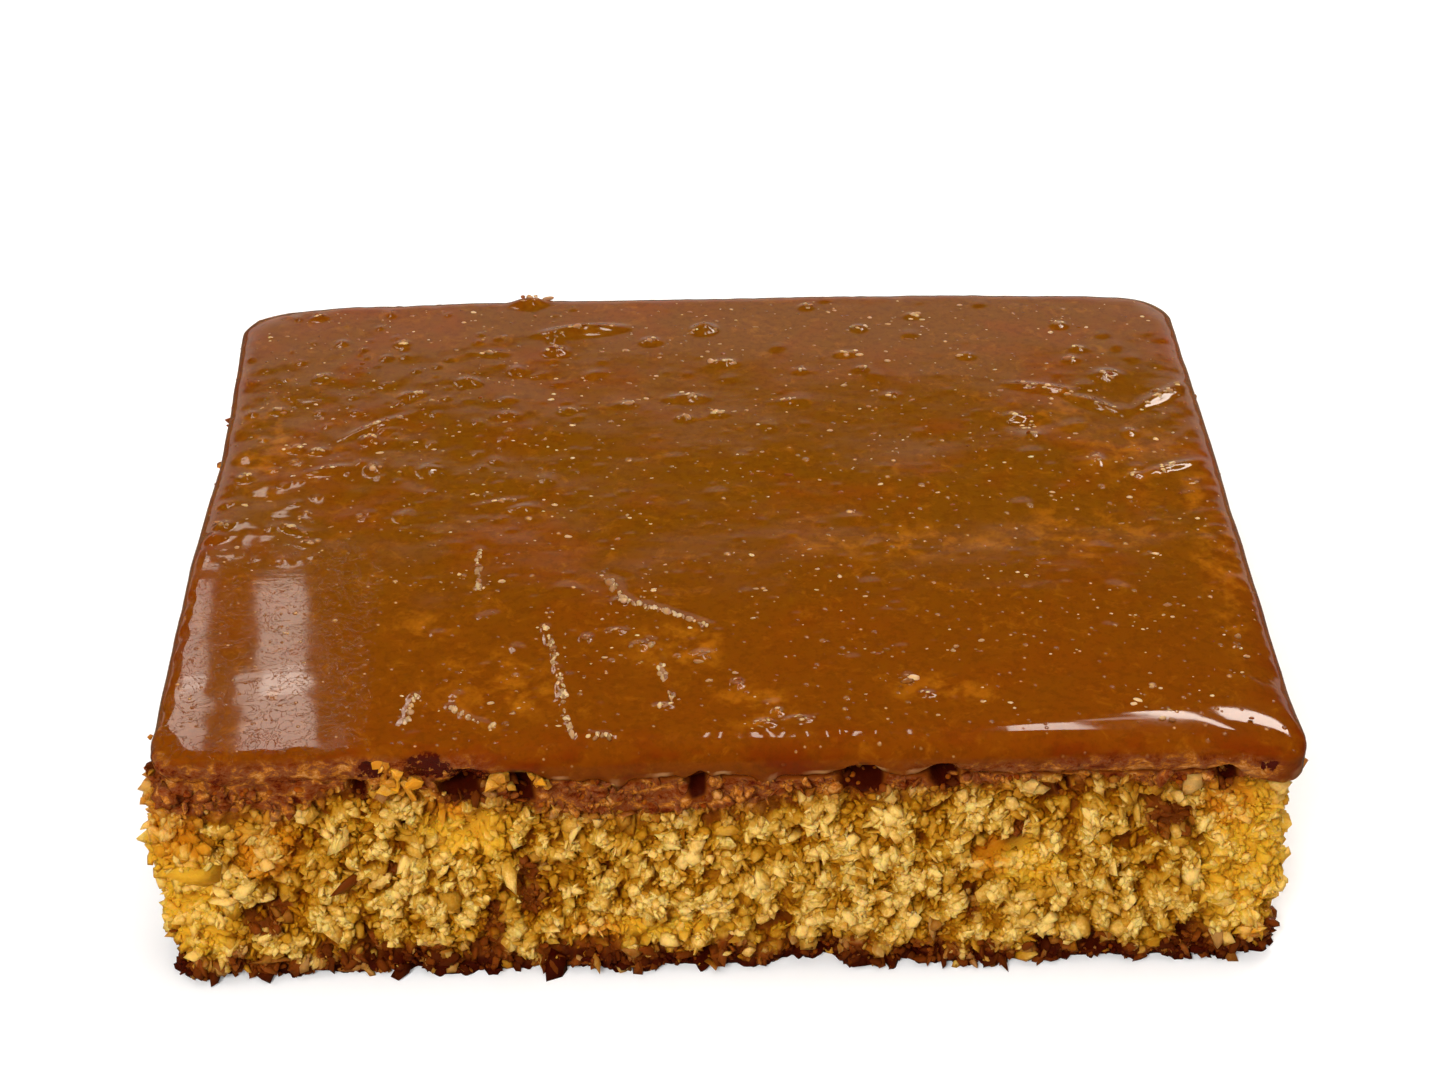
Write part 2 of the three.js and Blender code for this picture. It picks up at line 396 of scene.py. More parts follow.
class NodeSheet:
    """A short way to write a material's nodes."""

    def __init__(self, tree: bpy.types.NodeTree) -> None:
        """Empties the tree and keeps it."""
        self.tree = tree
        tree.nodes.clear()

    def add(self, kind: str, settings: dict | None = None, **inputs: object) -> bpy.types.Node:
        """Adds a node.

        Args:
            kind: the node's type without the leading ShaderNode.
            settings: properties of the node itself.
            inputs: a value or another node's output for each input, spaces written as underscores.

        Returns:
            The node.
        """
        node = self.tree.nodes.new("ShaderNode" + kind)
        for name, value in (settings or {}).items():
            setattr(node, name, value)
        for name, value in inputs.items():
            self.feed(node.inputs[name.replace("_", " ")], value)
        return node

    def feed(self, socket: Socket, value: object) -> None:
        """Links an output to a socket, or sets the socket's value.

        Args:
            socket: the input.
            value: another node's output, or a number or colour.
        """
        if isinstance(value, Socket):
            self.tree.links.new(value, socket)
        else:
            socket.default_value = (*value, 1.0) if socket.type == "RGBA" and len(value) == 3 else value

    def maths(self, operation: str, first: object, second: object) -> Socket:
        """A sum of two numbers, held between 0 and 1.

        Args:
            operation: the sum's name.
            first: a number or another node's output.
            second: the same.

        Returns:
            The result.
        """
        node = self.add("Math", {"operation": operation, "use_clamp": True})
        self.feed(node.inputs[0], first)
        self.feed(node.inputs[1], second)
        return node.outputs[0]

    def times(self, first: object, second: object) -> Socket:
        """One number times another, held between 0 and 1."""
        return self.maths("MULTIPLY", first, second)

    def span(self, value: object, low: float, high: float, start: float = 0.0, end: float = 1.0) -> Socket:
        """Value mapped smoothly from low..high to start..end.

        Args:
            value: a number or another node's output.
            low: the value that gives start.
            high: the value that gives end.
            start: the result at low.
            end: the result at high.

        Returns:
            The result.
        """
        node = self.add("MapRange", {"interpolation_type": "SMOOTHSTEP"})
        for socket, number in zip(node.inputs, (value, low, high, start, end)):
            self.feed(socket, number)
        return node.outputs[0]

    def attribute(self, name: str) -> Socket:
        """A number that the mesh carries for each vertex."""
        return self.add("Attribute", {"attribute_name": name}).outputs["Fac"]

    def noise(
        self, width: float, detail: float, roughness: float, warp: float = 0.0, squeeze: float = 1.0
    ) -> Socket:
        """Noise on the object's own places, from 0 to 1.

        Args:
            width: width of the features in millimetres.
            detail: how many finer octaves it has.
            roughness: how strong each of them is.
            warp: how much it is bent.
            squeeze: how much shorter places are along X, which draws the features out that way.

        Returns:
            The noise.
        """
        place = self.add("TexCoord").outputs["Object"]
        if squeeze != 1.0:
            place = self.add("Mapping", Vector=place, Scale=(squeeze, 1.0, 1.0)).outputs["Vector"]
        grain = {"Scale": 1 / (width * MM), "Detail": detail, "Roughness": roughness, "Distortion": warp}
        return self.add("TexNoise", Vector=place, **grain).outputs["Fac"]

    def specks(self, spacing: float, radius: float) -> Socket:
        """Round specks, 1 at the middle of each and 0 beyond its radius, both in millimetres."""
        place = self.add("TexCoord").outputs["Object"]
        cells = self.add("TexVoronoi", Vector=place, Scale=1 / (spacing * MM), Randomness=1.0)
        return self.span(cells.outputs["Distance"], radius / spacing, 0.3 * radius / spacing)

    def blend(self, amount: object, first: object, second: object) -> Socket:
        """A mix of two colours.

        Args:
            amount: 0 for the first, 1 for the second.
            first: a colour or another node's output.
            second: the same.

        Returns:
            The mixed colour.
        """
        node = self.add("MixRGB")
        for socket, value in zip(node.inputs, (amount, first, second)):
            self.feed(socket, value)
        return node.outputs[0]

    def ramp(self, value: object, stops: dict[float, Colour]) -> Socket:
        """A colour ramp with a stop for each entry.

        Args:
            value: where on the ramp.
            stops: the colour at each position.

        Returns:
            The colour.
        """
        node = self.add("ValToRGB", Fac=value)
        marks = node.color_ramp.elements
        while len(marks) < len(stops):
            marks.new(0.5)
        for mark, (position, colour) in zip(marks, sorted(stops.items())):
            mark.position = position
            mark.color = (*colour, 1.0)
        return node.outputs["Color"]

    def bump(self, height: object, depth: float, under: object = None) -> Socket:
        """A bump of the given depth in millimetres, on top of another one.

        Args:
            height: the relief, from 0 to 1.
            depth: how deep it is, in millimetres.
            under: the normal that it lies on, if any.

        Returns:
            The normal.
        """
        node = self.add("Bump", Height=height, Distance=depth * MM, Strength=1.0)
        if under is not None:
            self.feed(node.inputs["Normal"], under)
        return node.outputs["Normal"]

    def surface(self, **inputs: object) -> None:
        """The Principled shader and the output."""
        shader = self.add("BsdfPrincipled", **inputs)
        shader.subsurface_method = "RANDOM_WALK"
        self.add("OutputMaterial", Surface=shader.outputs[0])


def new_sheet(name: str) -> tuple[bpy.types.Material, NodeSheet]:
    """A new material and its empty node sheet."""
    material = bpy.data.materials.new(name)
    material.use_nodes = True
    return material, NodeSheet(material.node_tree)


SYRUP_IOR = 1.47
SYRUP_SCATTER = (1.0, 0.30, 0.05)


@dataclass(frozen=True)
class Smear:
    """Crumb that caramel has soaked, streaked from wine red through rust and mauve brown to tan fringes; the
    mauve is partly a painted reflection.

    Attributes:
        wine: where the caramel is thickest.
        rust: next to it.
        mauve: mauve brown, partly a painted reflection on the wet caramel.
        orange: where it is thin.
        tan: the fringes.
    """

    wine: Colour = (0.095, 0.008, 0.0015)
    rust: Colour = (0.210, 0.038, 0.0030)
    mauve: Colour = (0.215, 0.062, 0.0200)
    orange: Colour = (0.430, 0.130, 0.0060)
    tan: Colour = (0.620, 0.290, 0.0800)

    def paint(self, sheet: NodeSheet) -> Socket:
        """The colour, as a node's output."""
        streaks = sheet.noise(1.7, 5, 0.74, 0.3, 0.7)
        # The mauve stop is partly painted reflection on the wet caramel.
        stops = {0.37: self.wine, 0.44: self.rust, 0.51: self.mauve, 0.57: self.orange, 0.66: self.tan}
        return sheet.ramp(streaks, stops)


@dataclass(frozen=True)
class CaramelFinish:
    """Set caramel glaze: glossy, deep amber brown, mottled, with grains showing through, their pale beads
    and flecks partly painted highlights.

    Attributes:
        deep: the olive brown of thick glaze.
        warm: the orange brown of thin glaze, at rims and streaks.
        russet: the redder brown towards the front.
        orange: grains lit through the glaze.
        fleck_and_glint: pale grains just under its skin, partly painted glints.
        crest_and_glint: grains that push the skin up, and the thin lip of its lower edge, painted pale as
            highlights.
        pit: the wine-dark bottom of the pits along its front edge and the inside of its lower edge, partly
            painted shade.
        dusk: the red mottles of the rim.
        shade: the darkest mottles.
        roughness: of the skin.
        swell: depth of the skin's soft waves.
        beads: how high the specks stand.
        bars: depth of the fine lines across the calm corner.
        drift: depth of the broad waves in its shine.
        cracks: depth of the cracks in its shine.
        lumps: depth of the torn edge's lumps.
    """

    deep: Colour = (0.158, 0.050, 0.0012)
    warm: Colour = (0.205, 0.040, 0.0008)
    russet: Colour = (0.172, 0.036, 0.0005)
    orange: Colour = (0.400, 0.125, 0.0045)
    fleck_and_glint: Colour = (0.700, 0.370, 0.1200)
    crest_and_glint: Colour = (0.680, 0.420, 0.2000)
    pit: Colour = (0.058, 0.003, 0.0012)
    dusk: Colour = (0.150, 0.018, 0.0005)
    shade: Colour = (0.085, 0.018, 0.0004)
    roughness: float = 0.05
    swell: float = 0.030
    beads: float = 0.10
    bars: float = 0.005
    drift: float = 0.036
    cracks: float = 0.032
    lumps: float = 0.40

    def body(self, sheet: NodeSheet) -> Socket:
        """The mottled colour without its flecks.

        Args:
            sheet: the material's nodes.

        Returns:
            The colour.
        """
        mottle = sheet.span(sheet.noise(13, 3, 0.55, 0.6), 0.46, 0.70, 0, 0.5)
        warmth = sheet.maths("ADD", mottle, sheet.attribute("warm"))
        colour = sheet.blend(warmth, self.deep, self.warm)
        colour = sheet.blend(sheet.attribute("russet"), colour, self.russet)
        cloud = sheet.span(sheet.noise(2.6, 4, 0.7, 0.6), 0.52, 0.76, 0, 0.34)
        lit = sheet.span(sheet.noise(3.6, 3, 0.60, 0.3), 0.42, 0.66, 0, 0.55)
        glow = sheet.times(sheet.attribute("thin"), lit)
        colour = sheet.blend(sheet.maths("ADD", cloud, glow), colour, self.orange)
        dusk = sheet.span(sheet.noise(4.5, 3, 0.6, squeeze=0.6), 0.46, 0.62)
        colour = sheet.blend(sheet.times(sheet.attribute("warm"), dusk), colour, self.dusk)
        shade = sheet.span(sheet.noise(1.1, 4, 0.7), 0.56, 0.34, 0, 0.34)
        colour = sheet.blend(shade, colour, self.shade)
        # Painted highlight: the grains that push the skin up and the lip of the lower edge are blended
        # towards a pale glint colour.
        return sheet.blend(sheet.attribute("crest_and_glint"), colour, self.crest_and_glint)

    @staticmethod
    def specks(sheet: NodeSheet) -> Socket:
        """The fine, middling and coarse grains just under the skin."""
        middling = sheet.maths("MAXIMUM", sheet.specks(3.3, 0.36), sheet.specks(7.1, 0.55))
        return sheet.maths("MAXIMUM", sheet.specks(1.7, 0.24), middling)

    def colour(self, sheet: NodeSheet, specks: Socket) -> Socket:
        """The colour with its flecks, its torn edge and its pits.

        Args:
            sheet: the material's nodes.
            specks: where grains lie under the skin.

        Returns:
            The colour.
        """
        uneven = sheet.span(sheet.noise(1.9, 2, 0.5), 0.42, 0.70, 0.05, 0.75)
        # Pale grains under the skin, painted pale partly as glints.
        colour = sheet.blend(sheet.times(specks, uneven), self.body(sheet), self.fleck_and_glint)
        colour = sheet.blend(sheet.attribute("torn"), colour, Smear().paint(sheet))
        # Painted shade: the pits and the inside of the lower edge are darkened to the wine-dark colour.
        ragged = sheet.span(sheet.noise(0.9, 4, 0.7), 0.36, 0.60, 0.1, 1)
        ragged = sheet.times(sheet.attribute("pit"), ragged)
        return sheet.blend(sheet.span(ragged, 0.10, 0.34), colour, self.pit)

    def skin(self, sheet: NodeSheet, specks: Socket) -> Socket:
        """The skin's fine relief.

        Args:
            sheet: the material's nodes.
            specks: where grains lie under the skin.

        Returns:
            The normal.
        """
        calm = sheet.attribute("calm")
        crease = sheet.attribute("crease")
        lively = sheet.maths("SUBTRACT", 1.0, calm)
        swell = sheet.times(sheet.noise(3.2, 2, 0.5, squeeze=0.4), lively)
        still = sheet.maths("MAXIMUM", calm, crease)
        bars = sheet.times(sheet.noise(1.3, 2, 0.5, 0.2, 0.25), still)
        drift = sheet.times(sheet.noise(5.5, 1, 0.5), crease)
        crinkle = sheet.noise(2.4, 3, 0.66, 1.6)
        cracks = sheet.times(sheet.span(crinkle, 0.484, 0.5), sheet.span(crinkle, 0.516, 0.5))
        cracks = sheet.times(cracks, crease)
        lumps = sheet.times(sheet.noise(0.9, 3, 0.62), sheet.attribute("torn"))
        normal = None
        depths = (self.swell, self.beads, self.bars, self.drift, self.cracks, self.lumps)
        for relief, depth in zip((swell, specks, bars, drift, cracks, lumps), depths):
            normal = sheet.bump(relief, depth, normal)
        return normal

    def material(self) -> bpy.types.Material:
        """Builds the material."""
        made, sheet = new_sheet("caramel")
        specks = self.specks(sheet)
        sheet.surface(
            Base_Color=self.colour(sheet, specks),
            Roughness=sheet.span(sheet.attribute("torn"), 0, 1, self.roughness, 0.22),
            IOR=SYRUP_IOR,
            Normal=self.skin(sheet, specks),
            Subsurface_Weight=0.30,
            Subsurface_Radius=SYRUP_SCATTER,
            Subsurface_Scale=1.4 * MM,
        )
        return made


@dataclass(frozen=True)
class SyrupFinish:
    """Wet caramel that stands in drops on the soaked crumb.

    Attributes:
        light: the thin drops.
        dark: the thick ones.
        roughness: of their skin.
    """

    light: Colour = (0.34, 0.085, 0.006)
    dark: Colour = (0.20, 0.035, 0.002)
    roughness: float = 0.06

    def material(self) -> bpy.types.Material:
        """Builds the material."""
        made, sheet = new_sheet("syrup")
        sheet.surface(
            Base_Color=sheet.blend(sheet.span(sheet.noise(5, 2, 0.5), 0.35, 0.65), self.light, self.dark),
            Roughness=self.roughness,
            IOR=SYRUP_IOR,
            Subsurface_Weight=0.5,
            Subsurface_Radius=SYRUP_SCATTER,
            Subsurface_Scale=1.2 * MM,
        )
        return made


@dataclass(frozen=True)
class CrumbFinish:
    """Moist semolina crumb, from amber pores to cream grain tips, darker where it is soaked. Its ramp by
    rise mixes the crumb's own tones with painted shade in the hollows and painted light on what stands out.

    Attributes:
        pore: the deepest hollows.
        amber: between the grains.
        gold: the grains' flanks.
        straw: the grains that stand out.
        cream: their pale tips.
        stained: crumb next to the soaked crust; with the soaked colour it also paints shade in holes, pores
            and under the glaze's edge.
        soaked: the wine-brown crust at the base and in the holes under the glaze, partly painted shade there
            and under the glaze's edge.
        lemon: the bright yellow crumb at the torn ends.
        orange: crumb stained by thin caramel.
        roughness: of the crumb where it isn't soaked.
        grit: depth of the finest grains.
    """

    pore: Colour = (0.190, 0.040, 0.0004)
    amber: Colour = (0.350, 0.128, 0.0010)
    gold: Colour = (0.500, 0.225, 0.0100)
    straw: Colour = (0.620, 0.330, 0.0420)
    cream: Colour = (0.880, 0.580, 0.1700)
    stained: Colour = (0.210, 0.045, 0.0035)
    soaked: Colour = (0.045, 0.004, 0.0008)
    lemon: Colour = (0.850, 0.450, 0.0260)
    orange: Colour = (0.640, 0.215, 0.0060)
    roughness: float = 0.36
    grit: float = 0.10

    def material(self) -> bpy.types.Material:
        """Builds the material."""
        made, sheet = new_sheet("semolina_crumb")
        caramel = sheet.attribute("caramel")
        soak_and_shade = sheet.attribute("soak_and_shade")
        grit = sheet.noise(0.5, 3, 0.65)
        fine = sheet.span(grit, 0.3, 0.7, -0.07, 0.13)
        level = sheet.maths("ADD", sheet.times(sheet.attribute("rise"), 0.90), fine)
        # Painted light and shade: low rise gives the dark hollow colours and high rise the pale lit tips,
        # along with the crumb's own tones.
        stops = {0.06: self.pore, 0.24: self.amber, 0.45: self.gold, 0.68: self.straw, 0.90: self.cream}
        colour = sheet.ramp(level, stops)
        pale = sheet.span(level, 0.45, 0.90, 0.75, 0.30)
        for amount, tint in (
            (sheet.span(sheet.noise(7, 3, 0.6), 0.55, 0.75, 0, 0.25), self.amber),
            (sheet.times(sheet.attribute("lemon"), pale), self.lemon),
            (sheet.times(sheet.attribute("orange"), pale), self.orange),
            (caramel, Smear().paint(sheet)),
            # Soaked colours: the real soaked crust, and painted shade in holes, pores, the foot and under
            # the glaze's edge.
            (sheet.span(soak_and_shade, 0.0, 0.5), self.stained),
            (sheet.span(soak_and_shade, 0.35, 0.95), self.soaked),
        ):
            colour = sheet.blend(amount, colour, tint)
        wet = sheet.maths("MAXIMUM", soak_and_shade, caramel)
        sheet.surface(
            Base_Color=colour,
            Roughness=sheet.span(wet, 0, 1, self.roughness, 0.18),
            IOR=1.4,
            Specular_IOR_Level=0.32,
            Normal=sheet.bump(grit, self.grit),
            Subsurface_Weight=0.35,
            Subsurface_Radius=(1.0, 0.5, 0.1),
            Subsurface_Scale=0.6 * MM,
        )
        return made


@dataclass(frozen=True)
class FloorFinish:
    """The plain white table top.

    Attributes:
        white: its colour.
        worn: its colour where it is a little duller.
        glow: how much light it sends back on top of what falls on it, which keeps it white to the edges.
        bounce: its colour for the light that it throws up on the cake.
        mirrored: its colour in the cake's gloss.
    """

    white: Colour = (0.88, 0.88, 0.88)
    worn: Colour = (0.84, 0.84, 0.85)
    glow: float = 0.16
    bounce: Colour = (0.55, 0.45, 0.28)
    mirrored: Colour = (0.11, 0.080, 0.045)

    def material(self) -> bpy.types.Material:
        """Builds the material."""
        made, sheet = new_sheet("table_top")
        rays = sheet.add("LightPath").outputs
        shade = sheet.blend(sheet.span(sheet.noise(40, 3, 0.5), 0.3, 0.7, 0, 0.06), self.white, self.worn)
        colour = sheet.blend(rays["Is Camera Ray"], self.bounce, shade)
        colour = sheet.blend(rays["Is Glossy Ray"], colour, self.mirrored)
        glow = sheet.times(rays["Is Camera Ray"], self.glow)
        sheet.surface(
            Base_Color=colour, Roughness=0.7, Emission_Color=(1.0, 1.0, 1.0), Emission_Strength=glow
        )
        return made


# The cake.


@dataclass(frozen=True)
class Patch:
    """A place on the torn wall: its centre, its width along the wall and its height."""

    x: float
    y: float
    z: float
    width: float
    height: float

    def at(self, places: np.ndarray) -> np.ndarray:
        """How far each point belongs to it: 1 inside, 0 outside, with a wandering edge."""
        along = np.hypot(places[:, 0] - self.x, places[:, 1] - self.y) / (self.width / 2)
        away = np.hypot(along, (places[:, 2] - self.z) / (self.height / 2))
        return 1 - step(0.6, 1.3, away + 0.3 * wave(places, 2.0, 131))


def cover(patches: tuple[Patch, ...], places: np.ndarray) -> np.ndarray:
    """The strongest of several patches at each point."""
    return np.max([patch.at(places) for patch in patches], axis=0)


FRONT = -51.4  # where the front wall stands


def on_front(*rows: tuple[float, float, float, float]) -> tuple[Patch, ...]:
    """Patches on the front wall, from rows of x, z, width and height."""
    return tuple(Patch(x, FRONT, z, width, height) for x, z, width, height in rows)


# Wine-dark holes in the crumb under the glaze, sunk in and darkened with the crumb just below them, partly
# painted shade.
WINE_HOLES = on_front(
    (-41.5, 26.6, 2.6, 2.2), (-30, 26.6, 5.6, 3), (-23.2, 26.2, 3.4, 2.2), (-3.3, 27, 2.6, 3),
    (15.2, 27.4, 5.4, 3.4), (24.6, 27.4, 4.4, 3.2), (38.2, 25, 2.2, 2.6), (56.6, 27.2, 2.8, 3.4),
)

# The same in the glaze's front edge, darkened partly as painted shade.
GLAZE_PITS = on_front(
    (-40.2, 29.3, 2.8, 2.2), (-33.9, 29.6, 4.6, 3.4), (-29.2, 28.2, 4.6, 2.4), (61.2, 28.6, 2.4, 1.8),
)

# Hollows between the clumps, sunk in and darkened, partly painted shade.
PORES = on_front(
    (-27, 8.4, 2.8, 4.4), (-28.5, 4, 5, 2.6), (-38.7, 15.7, 2, 1.8), (-43.1, 14.9, 1.8, 1.6),
    (-40.7, 2.8, 6, 2.8), (-53, 9.5, 6, 3), (-22.5, 15.2, 3.4, 3.2), (-22.6, 10.6, 3, 3.2),
    (28.4, 9.2, 2, 4), (33.6, 19.7, 2.4, 1.8), (37.5, 2.9, 4, 2.2), (50.8, 20.8, 6, 4),
    (53.8, 4.1, 3.4, 2.2),
)

# Where the crumb is bright yellow, and where thin caramel has stained it.
LEMON_PATCHES = on_front(
    (61, 14, 12, 24), (-63, 9, 11, 20), (-6.8, 6.2, 15, 3.4), (35, 13.8, 8, 6), (-30, 20, 10, 6),
)
ORANGE_PATCHES = on_front(
    (-52.5, 18, 8, 9), (-63, 20.5, 7, 7), (-31.5, 26, 8, 4.5), (-31, 23, 4, 3), (-16.1, 5.6, 8, 3.2),
    (30.2, 14.9, 5, 4.4), (57, 22.5, 6, 6), (62, 3.5, 4, 3),
) + (Patch(-65, -49, 23, 10, 9),)

# Where the crumb stands out at the front left corner, high up and at the foot.
CORNER_BULGE = Patch(-64.0, -48.0, 20.5, 16.0, 11.0)
CORNER_FOOT = Patch(-63.0, -49.0, 4.0, 26.0, 26.0)

# How far down the caramel has soaked into the front, from its left end to its right.
SOAK_LINE = (
    (-64, 24), (-56, 23.4), (-51, 23.3), (-47, 24.6), (-44, 26.2), (-37, 26.4), (-31, 26), (-27, 25.2),
    (-23, 23.6), (-19, 22.4), (-10, 22.4), (-1, 22.4), (3.6, 23.2), (8, 24.6), (12, 25), (23, 25.2),
    (31, 25.6), (36, 26.2), (42, 26.2), (46, 25.2), (51, 24.8), (56, 25.4), (61, 26.2), (64, 25),
)


class Wall(Enum):
    """The two closed pieces of the crumb block, by the names of their objects."""

    FRONT = "crumb_front"
    REAR = "crumb_rear"


@dataclass
class WallForm:
    """What the torn wall is like at each point.

    Attributes:
        points: where it is on the outline, seen from above.
        normals: which way is out.
        depth: how far in from the outline the crumb stands.
        clump: height of the clumps, from 0 to about 1.
        hollow: 1 in a torn hollow.
        masks: where the crumb is soaked or stained, with painted shade in its holes, pores and under the
            glaze's edge, by attribute name.
    """

    points: np.ndarray
    normals: np.ndarray
    depth: np.ndarray
    clump: np.ndarray
    hollow: np.ndarray
    masks: dict[str, np.ndarray]


@dataclass
class CrumbBlock:
    """The soaked semolina cake with its torn walls.

    Attributes:
        outline: the walls' furthest reach, seen from above.
        height: base to top.
        seam: how far behind the front the two pieces meet.
        cell: height of one row, and width of one column at the front.
        rear_cell: width of one column at the sides and back.
        taper: how much further in the left and right walls stand at the foot.
        flare: how much further out the front wall stands at the foot.
        bulge: how much further out it stands at its right end.
        undercut: how far the base crust is set back at the sides and back.
        undercut_height: how high the base crust reaches.
        ledge: width of the step under the glaze's edge.
        soak_line: how far down the caramel has soaked in at the sides and back.
        sunk: how far in the crumb stands between its clumps.
        clump_height: how far the clumps stand out.
        billow_height: how far the broader swellings stand out.
        hollow_depth: depth of the torn hollows.
        hole_depth: depth of the holes under the glaze.
        corner_bulge: how far the front left corner stands out high up.
        corner_foot: how far it stands out at the foot.
        grain_height: how far the grains stand out, as a share of their own height.
        grit_height: the same for the finer grit.
        overhang: how far the crumb may stand out past the outline.
        crowded: from where on what stands out is pressed back.
        furthest: how far out a grain's tip may reach at the front.
        grains: the walls' grains.
        grit: the finer ones between them.
    """

    outline: Outline
    height: float
    seam: float = 10.0
    cell: float = 0.27
    rear_cell: float = 0.42
    taper: float = 1.2
    flare: float = 1.8
    bulge: float = 0.5
    undercut: float = 0.6
    undercut_height: float = 3.0
    ledge: float = 1.6
    soak_line: float = 25.2
    sunk: float = 1.75
    clump_height: float = 0.65
    billow_height: float = 0.75
    hollow_depth: float = 1.4
    hole_depth: float = 3.0
    corner_bulge: float = 1.7
    corner_foot: float = 1.4
    grain_height: float = 0.42
    grit_height: float = 0.40
    overhang: float = 2.3
    crowded: float = 1.7
    furthest: float = 3.0

    grains: GrainBed = GrainBed(1.45, 0.78, 0.42, 0.94, 31)
    grit: GrainBed = GrainBed(0.68, 0.75, 0.40, 0.9, 51)

    def form(self, walk: np.ndarray, level: np.ndarray) -> WallForm:
        """Works out the wall's clumps and hollows, without its grains.

        Args:
            walk: place along the outline.
            level: height above the base.

        Returns:
            The wall at each point.
        """
        points, normals = self.outline.walk(walk)
        places = np.column_stack([points, level])
        bent = places + 0.7 * np.column_stack([wave(places, 2.7, salt) for salt in (71, 72, 73)])
        clump = step(-0.14, 0.30, wave(bent, 2.7, 81) + 0.55 * wave(bent, 1.35, 82))
        billow = np.abs(wave(places, 5.4, 84))
        pore = cover(PORES, places)
        wine = cover(WINE_HOLES, places)
        hollow = np.maximum(step(0.20, 0.55, fractal(places, 6.0, 2, 83)), pore)

        front = 1 - step(2.0, 9.0, points[:, 1] + self.outline.half_y)
        torn = (1 - step(-31, -24, points[:, 0])) * front
        caramel = self.caramel(places, front)
        foot = level + 2.0 * wave(places, 4.2, 99) + 1.3 * wave(places, 1.6, 100)

        depth = self.sunk - self.clump_height * clump - self.billow_height * billow
        depth = depth + self.hollow_depth * hollow + 0.45 * fractal(places, 16, 2, 91)
        coated = 1.0 - 0.3 * torn + 0.55 * wave(places, 3.4, 92) + 0.3 * wave(places, 1.5, 93)
        coated += 0.22 * wave(places, 0.9, 96)
        depth = mix(depth, coated, 0.85 * caramel)
        below = 1 - level / self.height
        depth += self.taper * (points[:, 0] / self.outline.half_x) ** 2 * below
        depth += self.undercut * (1 - step(0.2, self.undercut_height, foot)) * (1 - front)
        ahead = np.clip(-normals[:, 1], 0, 1)
        end = step(54, 63, points[:, 0]) * front
        depth -= (self.flare * below * ahead + self.bulge * end) * front
        depth += self.hole_depth * wine
        depth -= self.corner_bulge * CORNER_BULGE.at(places) + self.corner_foot * CORNER_FOOT.at(places)
        depth += self.ledge * (1 - 0.85 * torn) * step(self.height - 1.2, self.height - 0.4, level)

        # Painted shade: the wine holes, the pores and the crumb just below both are darkened with the soaked
        # colour, and so is the ledge under the glaze's edge.
        lower = places + np.array([0, 0, 1.3])
        stain = np.maximum(wine, cover(WINE_HOLES, lower))
        pore_stain_and_shade = 0.6 * np.maximum(pore, cover(PORES, lower))
        shaded = 0.85 * front * (1 - torn) * step(self.height - 1.4, self.height - 0.7, level)
        lemon = 0.7 * (1 - front) * step(0.1, 0.5, wave(places, 17, 94))
        orange = (1 - front) * step(0.35, 0.6, wave(places, 9, 95))
        # The first mask darkens the base crust, partly painted shade at the foot, and carries the painted
        # shade above.
        masks = {
            "soak_and_shade": np.max([1 - step(0.9, 5.0, foot), 0.95 * stain, pore_stain_and_shade * front, shaded], axis=0),
            "caramel": caramel,
            "lemon": np.maximum(cover(LEMON_PATCHES, places), lemon),
            "orange": np.maximum(cover(ORANGE_PATCHES, places), orange),
        }
        return WallForm(points, normals, depth, clump, hollow, masks)

    def caramel(self, places: np.ndarray, front: np.ndarray) -> np.ndarray:
        """How much caramel has soaked in from above.

        Args:
            places: points of the wall.
            front: 1 at the front, 0 at the sides and the back.

        Returns:
            0 in bare crumb and 1 in soaked crumb, for each point.
        """
        line = mix(self.soak_line, np.interp(places[:, 0], *np.array(SOAK_LINE).T), front)
        above = places[:, 2] + 0.9 * wave(places, 2.6, 97) + 0.5 * wave(places, 1.1, 98) - line
        return 0.65 * step(-0.5, 0.7, above) + 0.35 * step(-3.4, 0.2, above)

    def pressed(self, depth: np.ndarray) -> np.ndarray:
        """The depth, with what would stand out too far pressed back but not flattened."""
        return np.maximum(np.maximum(depth, 0.3 * (depth + self.crowded) - self.crowded), -self.overhang)

    def relief(self, walk: np.ndarray, level: np.ndarray) -> tuple[np.ndarray, dict[str, np.ndarray]]:
        """Works out the torn wall with its grains.

        Args:
            walk: place along the outline.
            level: height above the base.

        Returns:
            Places in millimetres, and each attribute of the finish.
        """
        form = self.form(walk, level)
        flat = np.column_stack([walk, level])
        grain = self.grains.at(flat)
        grit = self.grit.at(flat)
        bare = (0.40 + 0.60 * form.clump) * (1 - 0.5 * form.masks["caramel"])
        depth = form.depth - bare * (self.grain_height * grain + self.grit_height * grit)
        points = form.points - form.normals * self.pressed(depth)[:, None]
        # Painted light and shade: the wall is paler on clumps and grains that stand out and darker in
        # hollows, on top of the crumb's own tones.
        rise = 0.07 + 0.42 * form.clump + bare * (0.14 * grain + 0.26 * grit) - 0.24 * form.hollow
        return np.column_stack([points, level]), {"rise": np.clip(rise, 0, 1), **form.masks}

    def reach(self, wall: Wall) -> tuple[float, float]:
        """Where on the walk one of the two pieces begins and ends.

        Args:
            wall: which one.

        Returns:
            The walk's two places.
        """
        straight, bend, *_ = self.outline.lengths()
        past = bend + self.seam - self.outline.radius
        if wall is Wall.FRONT:
            return -past, straight + past
        return straight + past, sum(self.outline.lengths()) - past

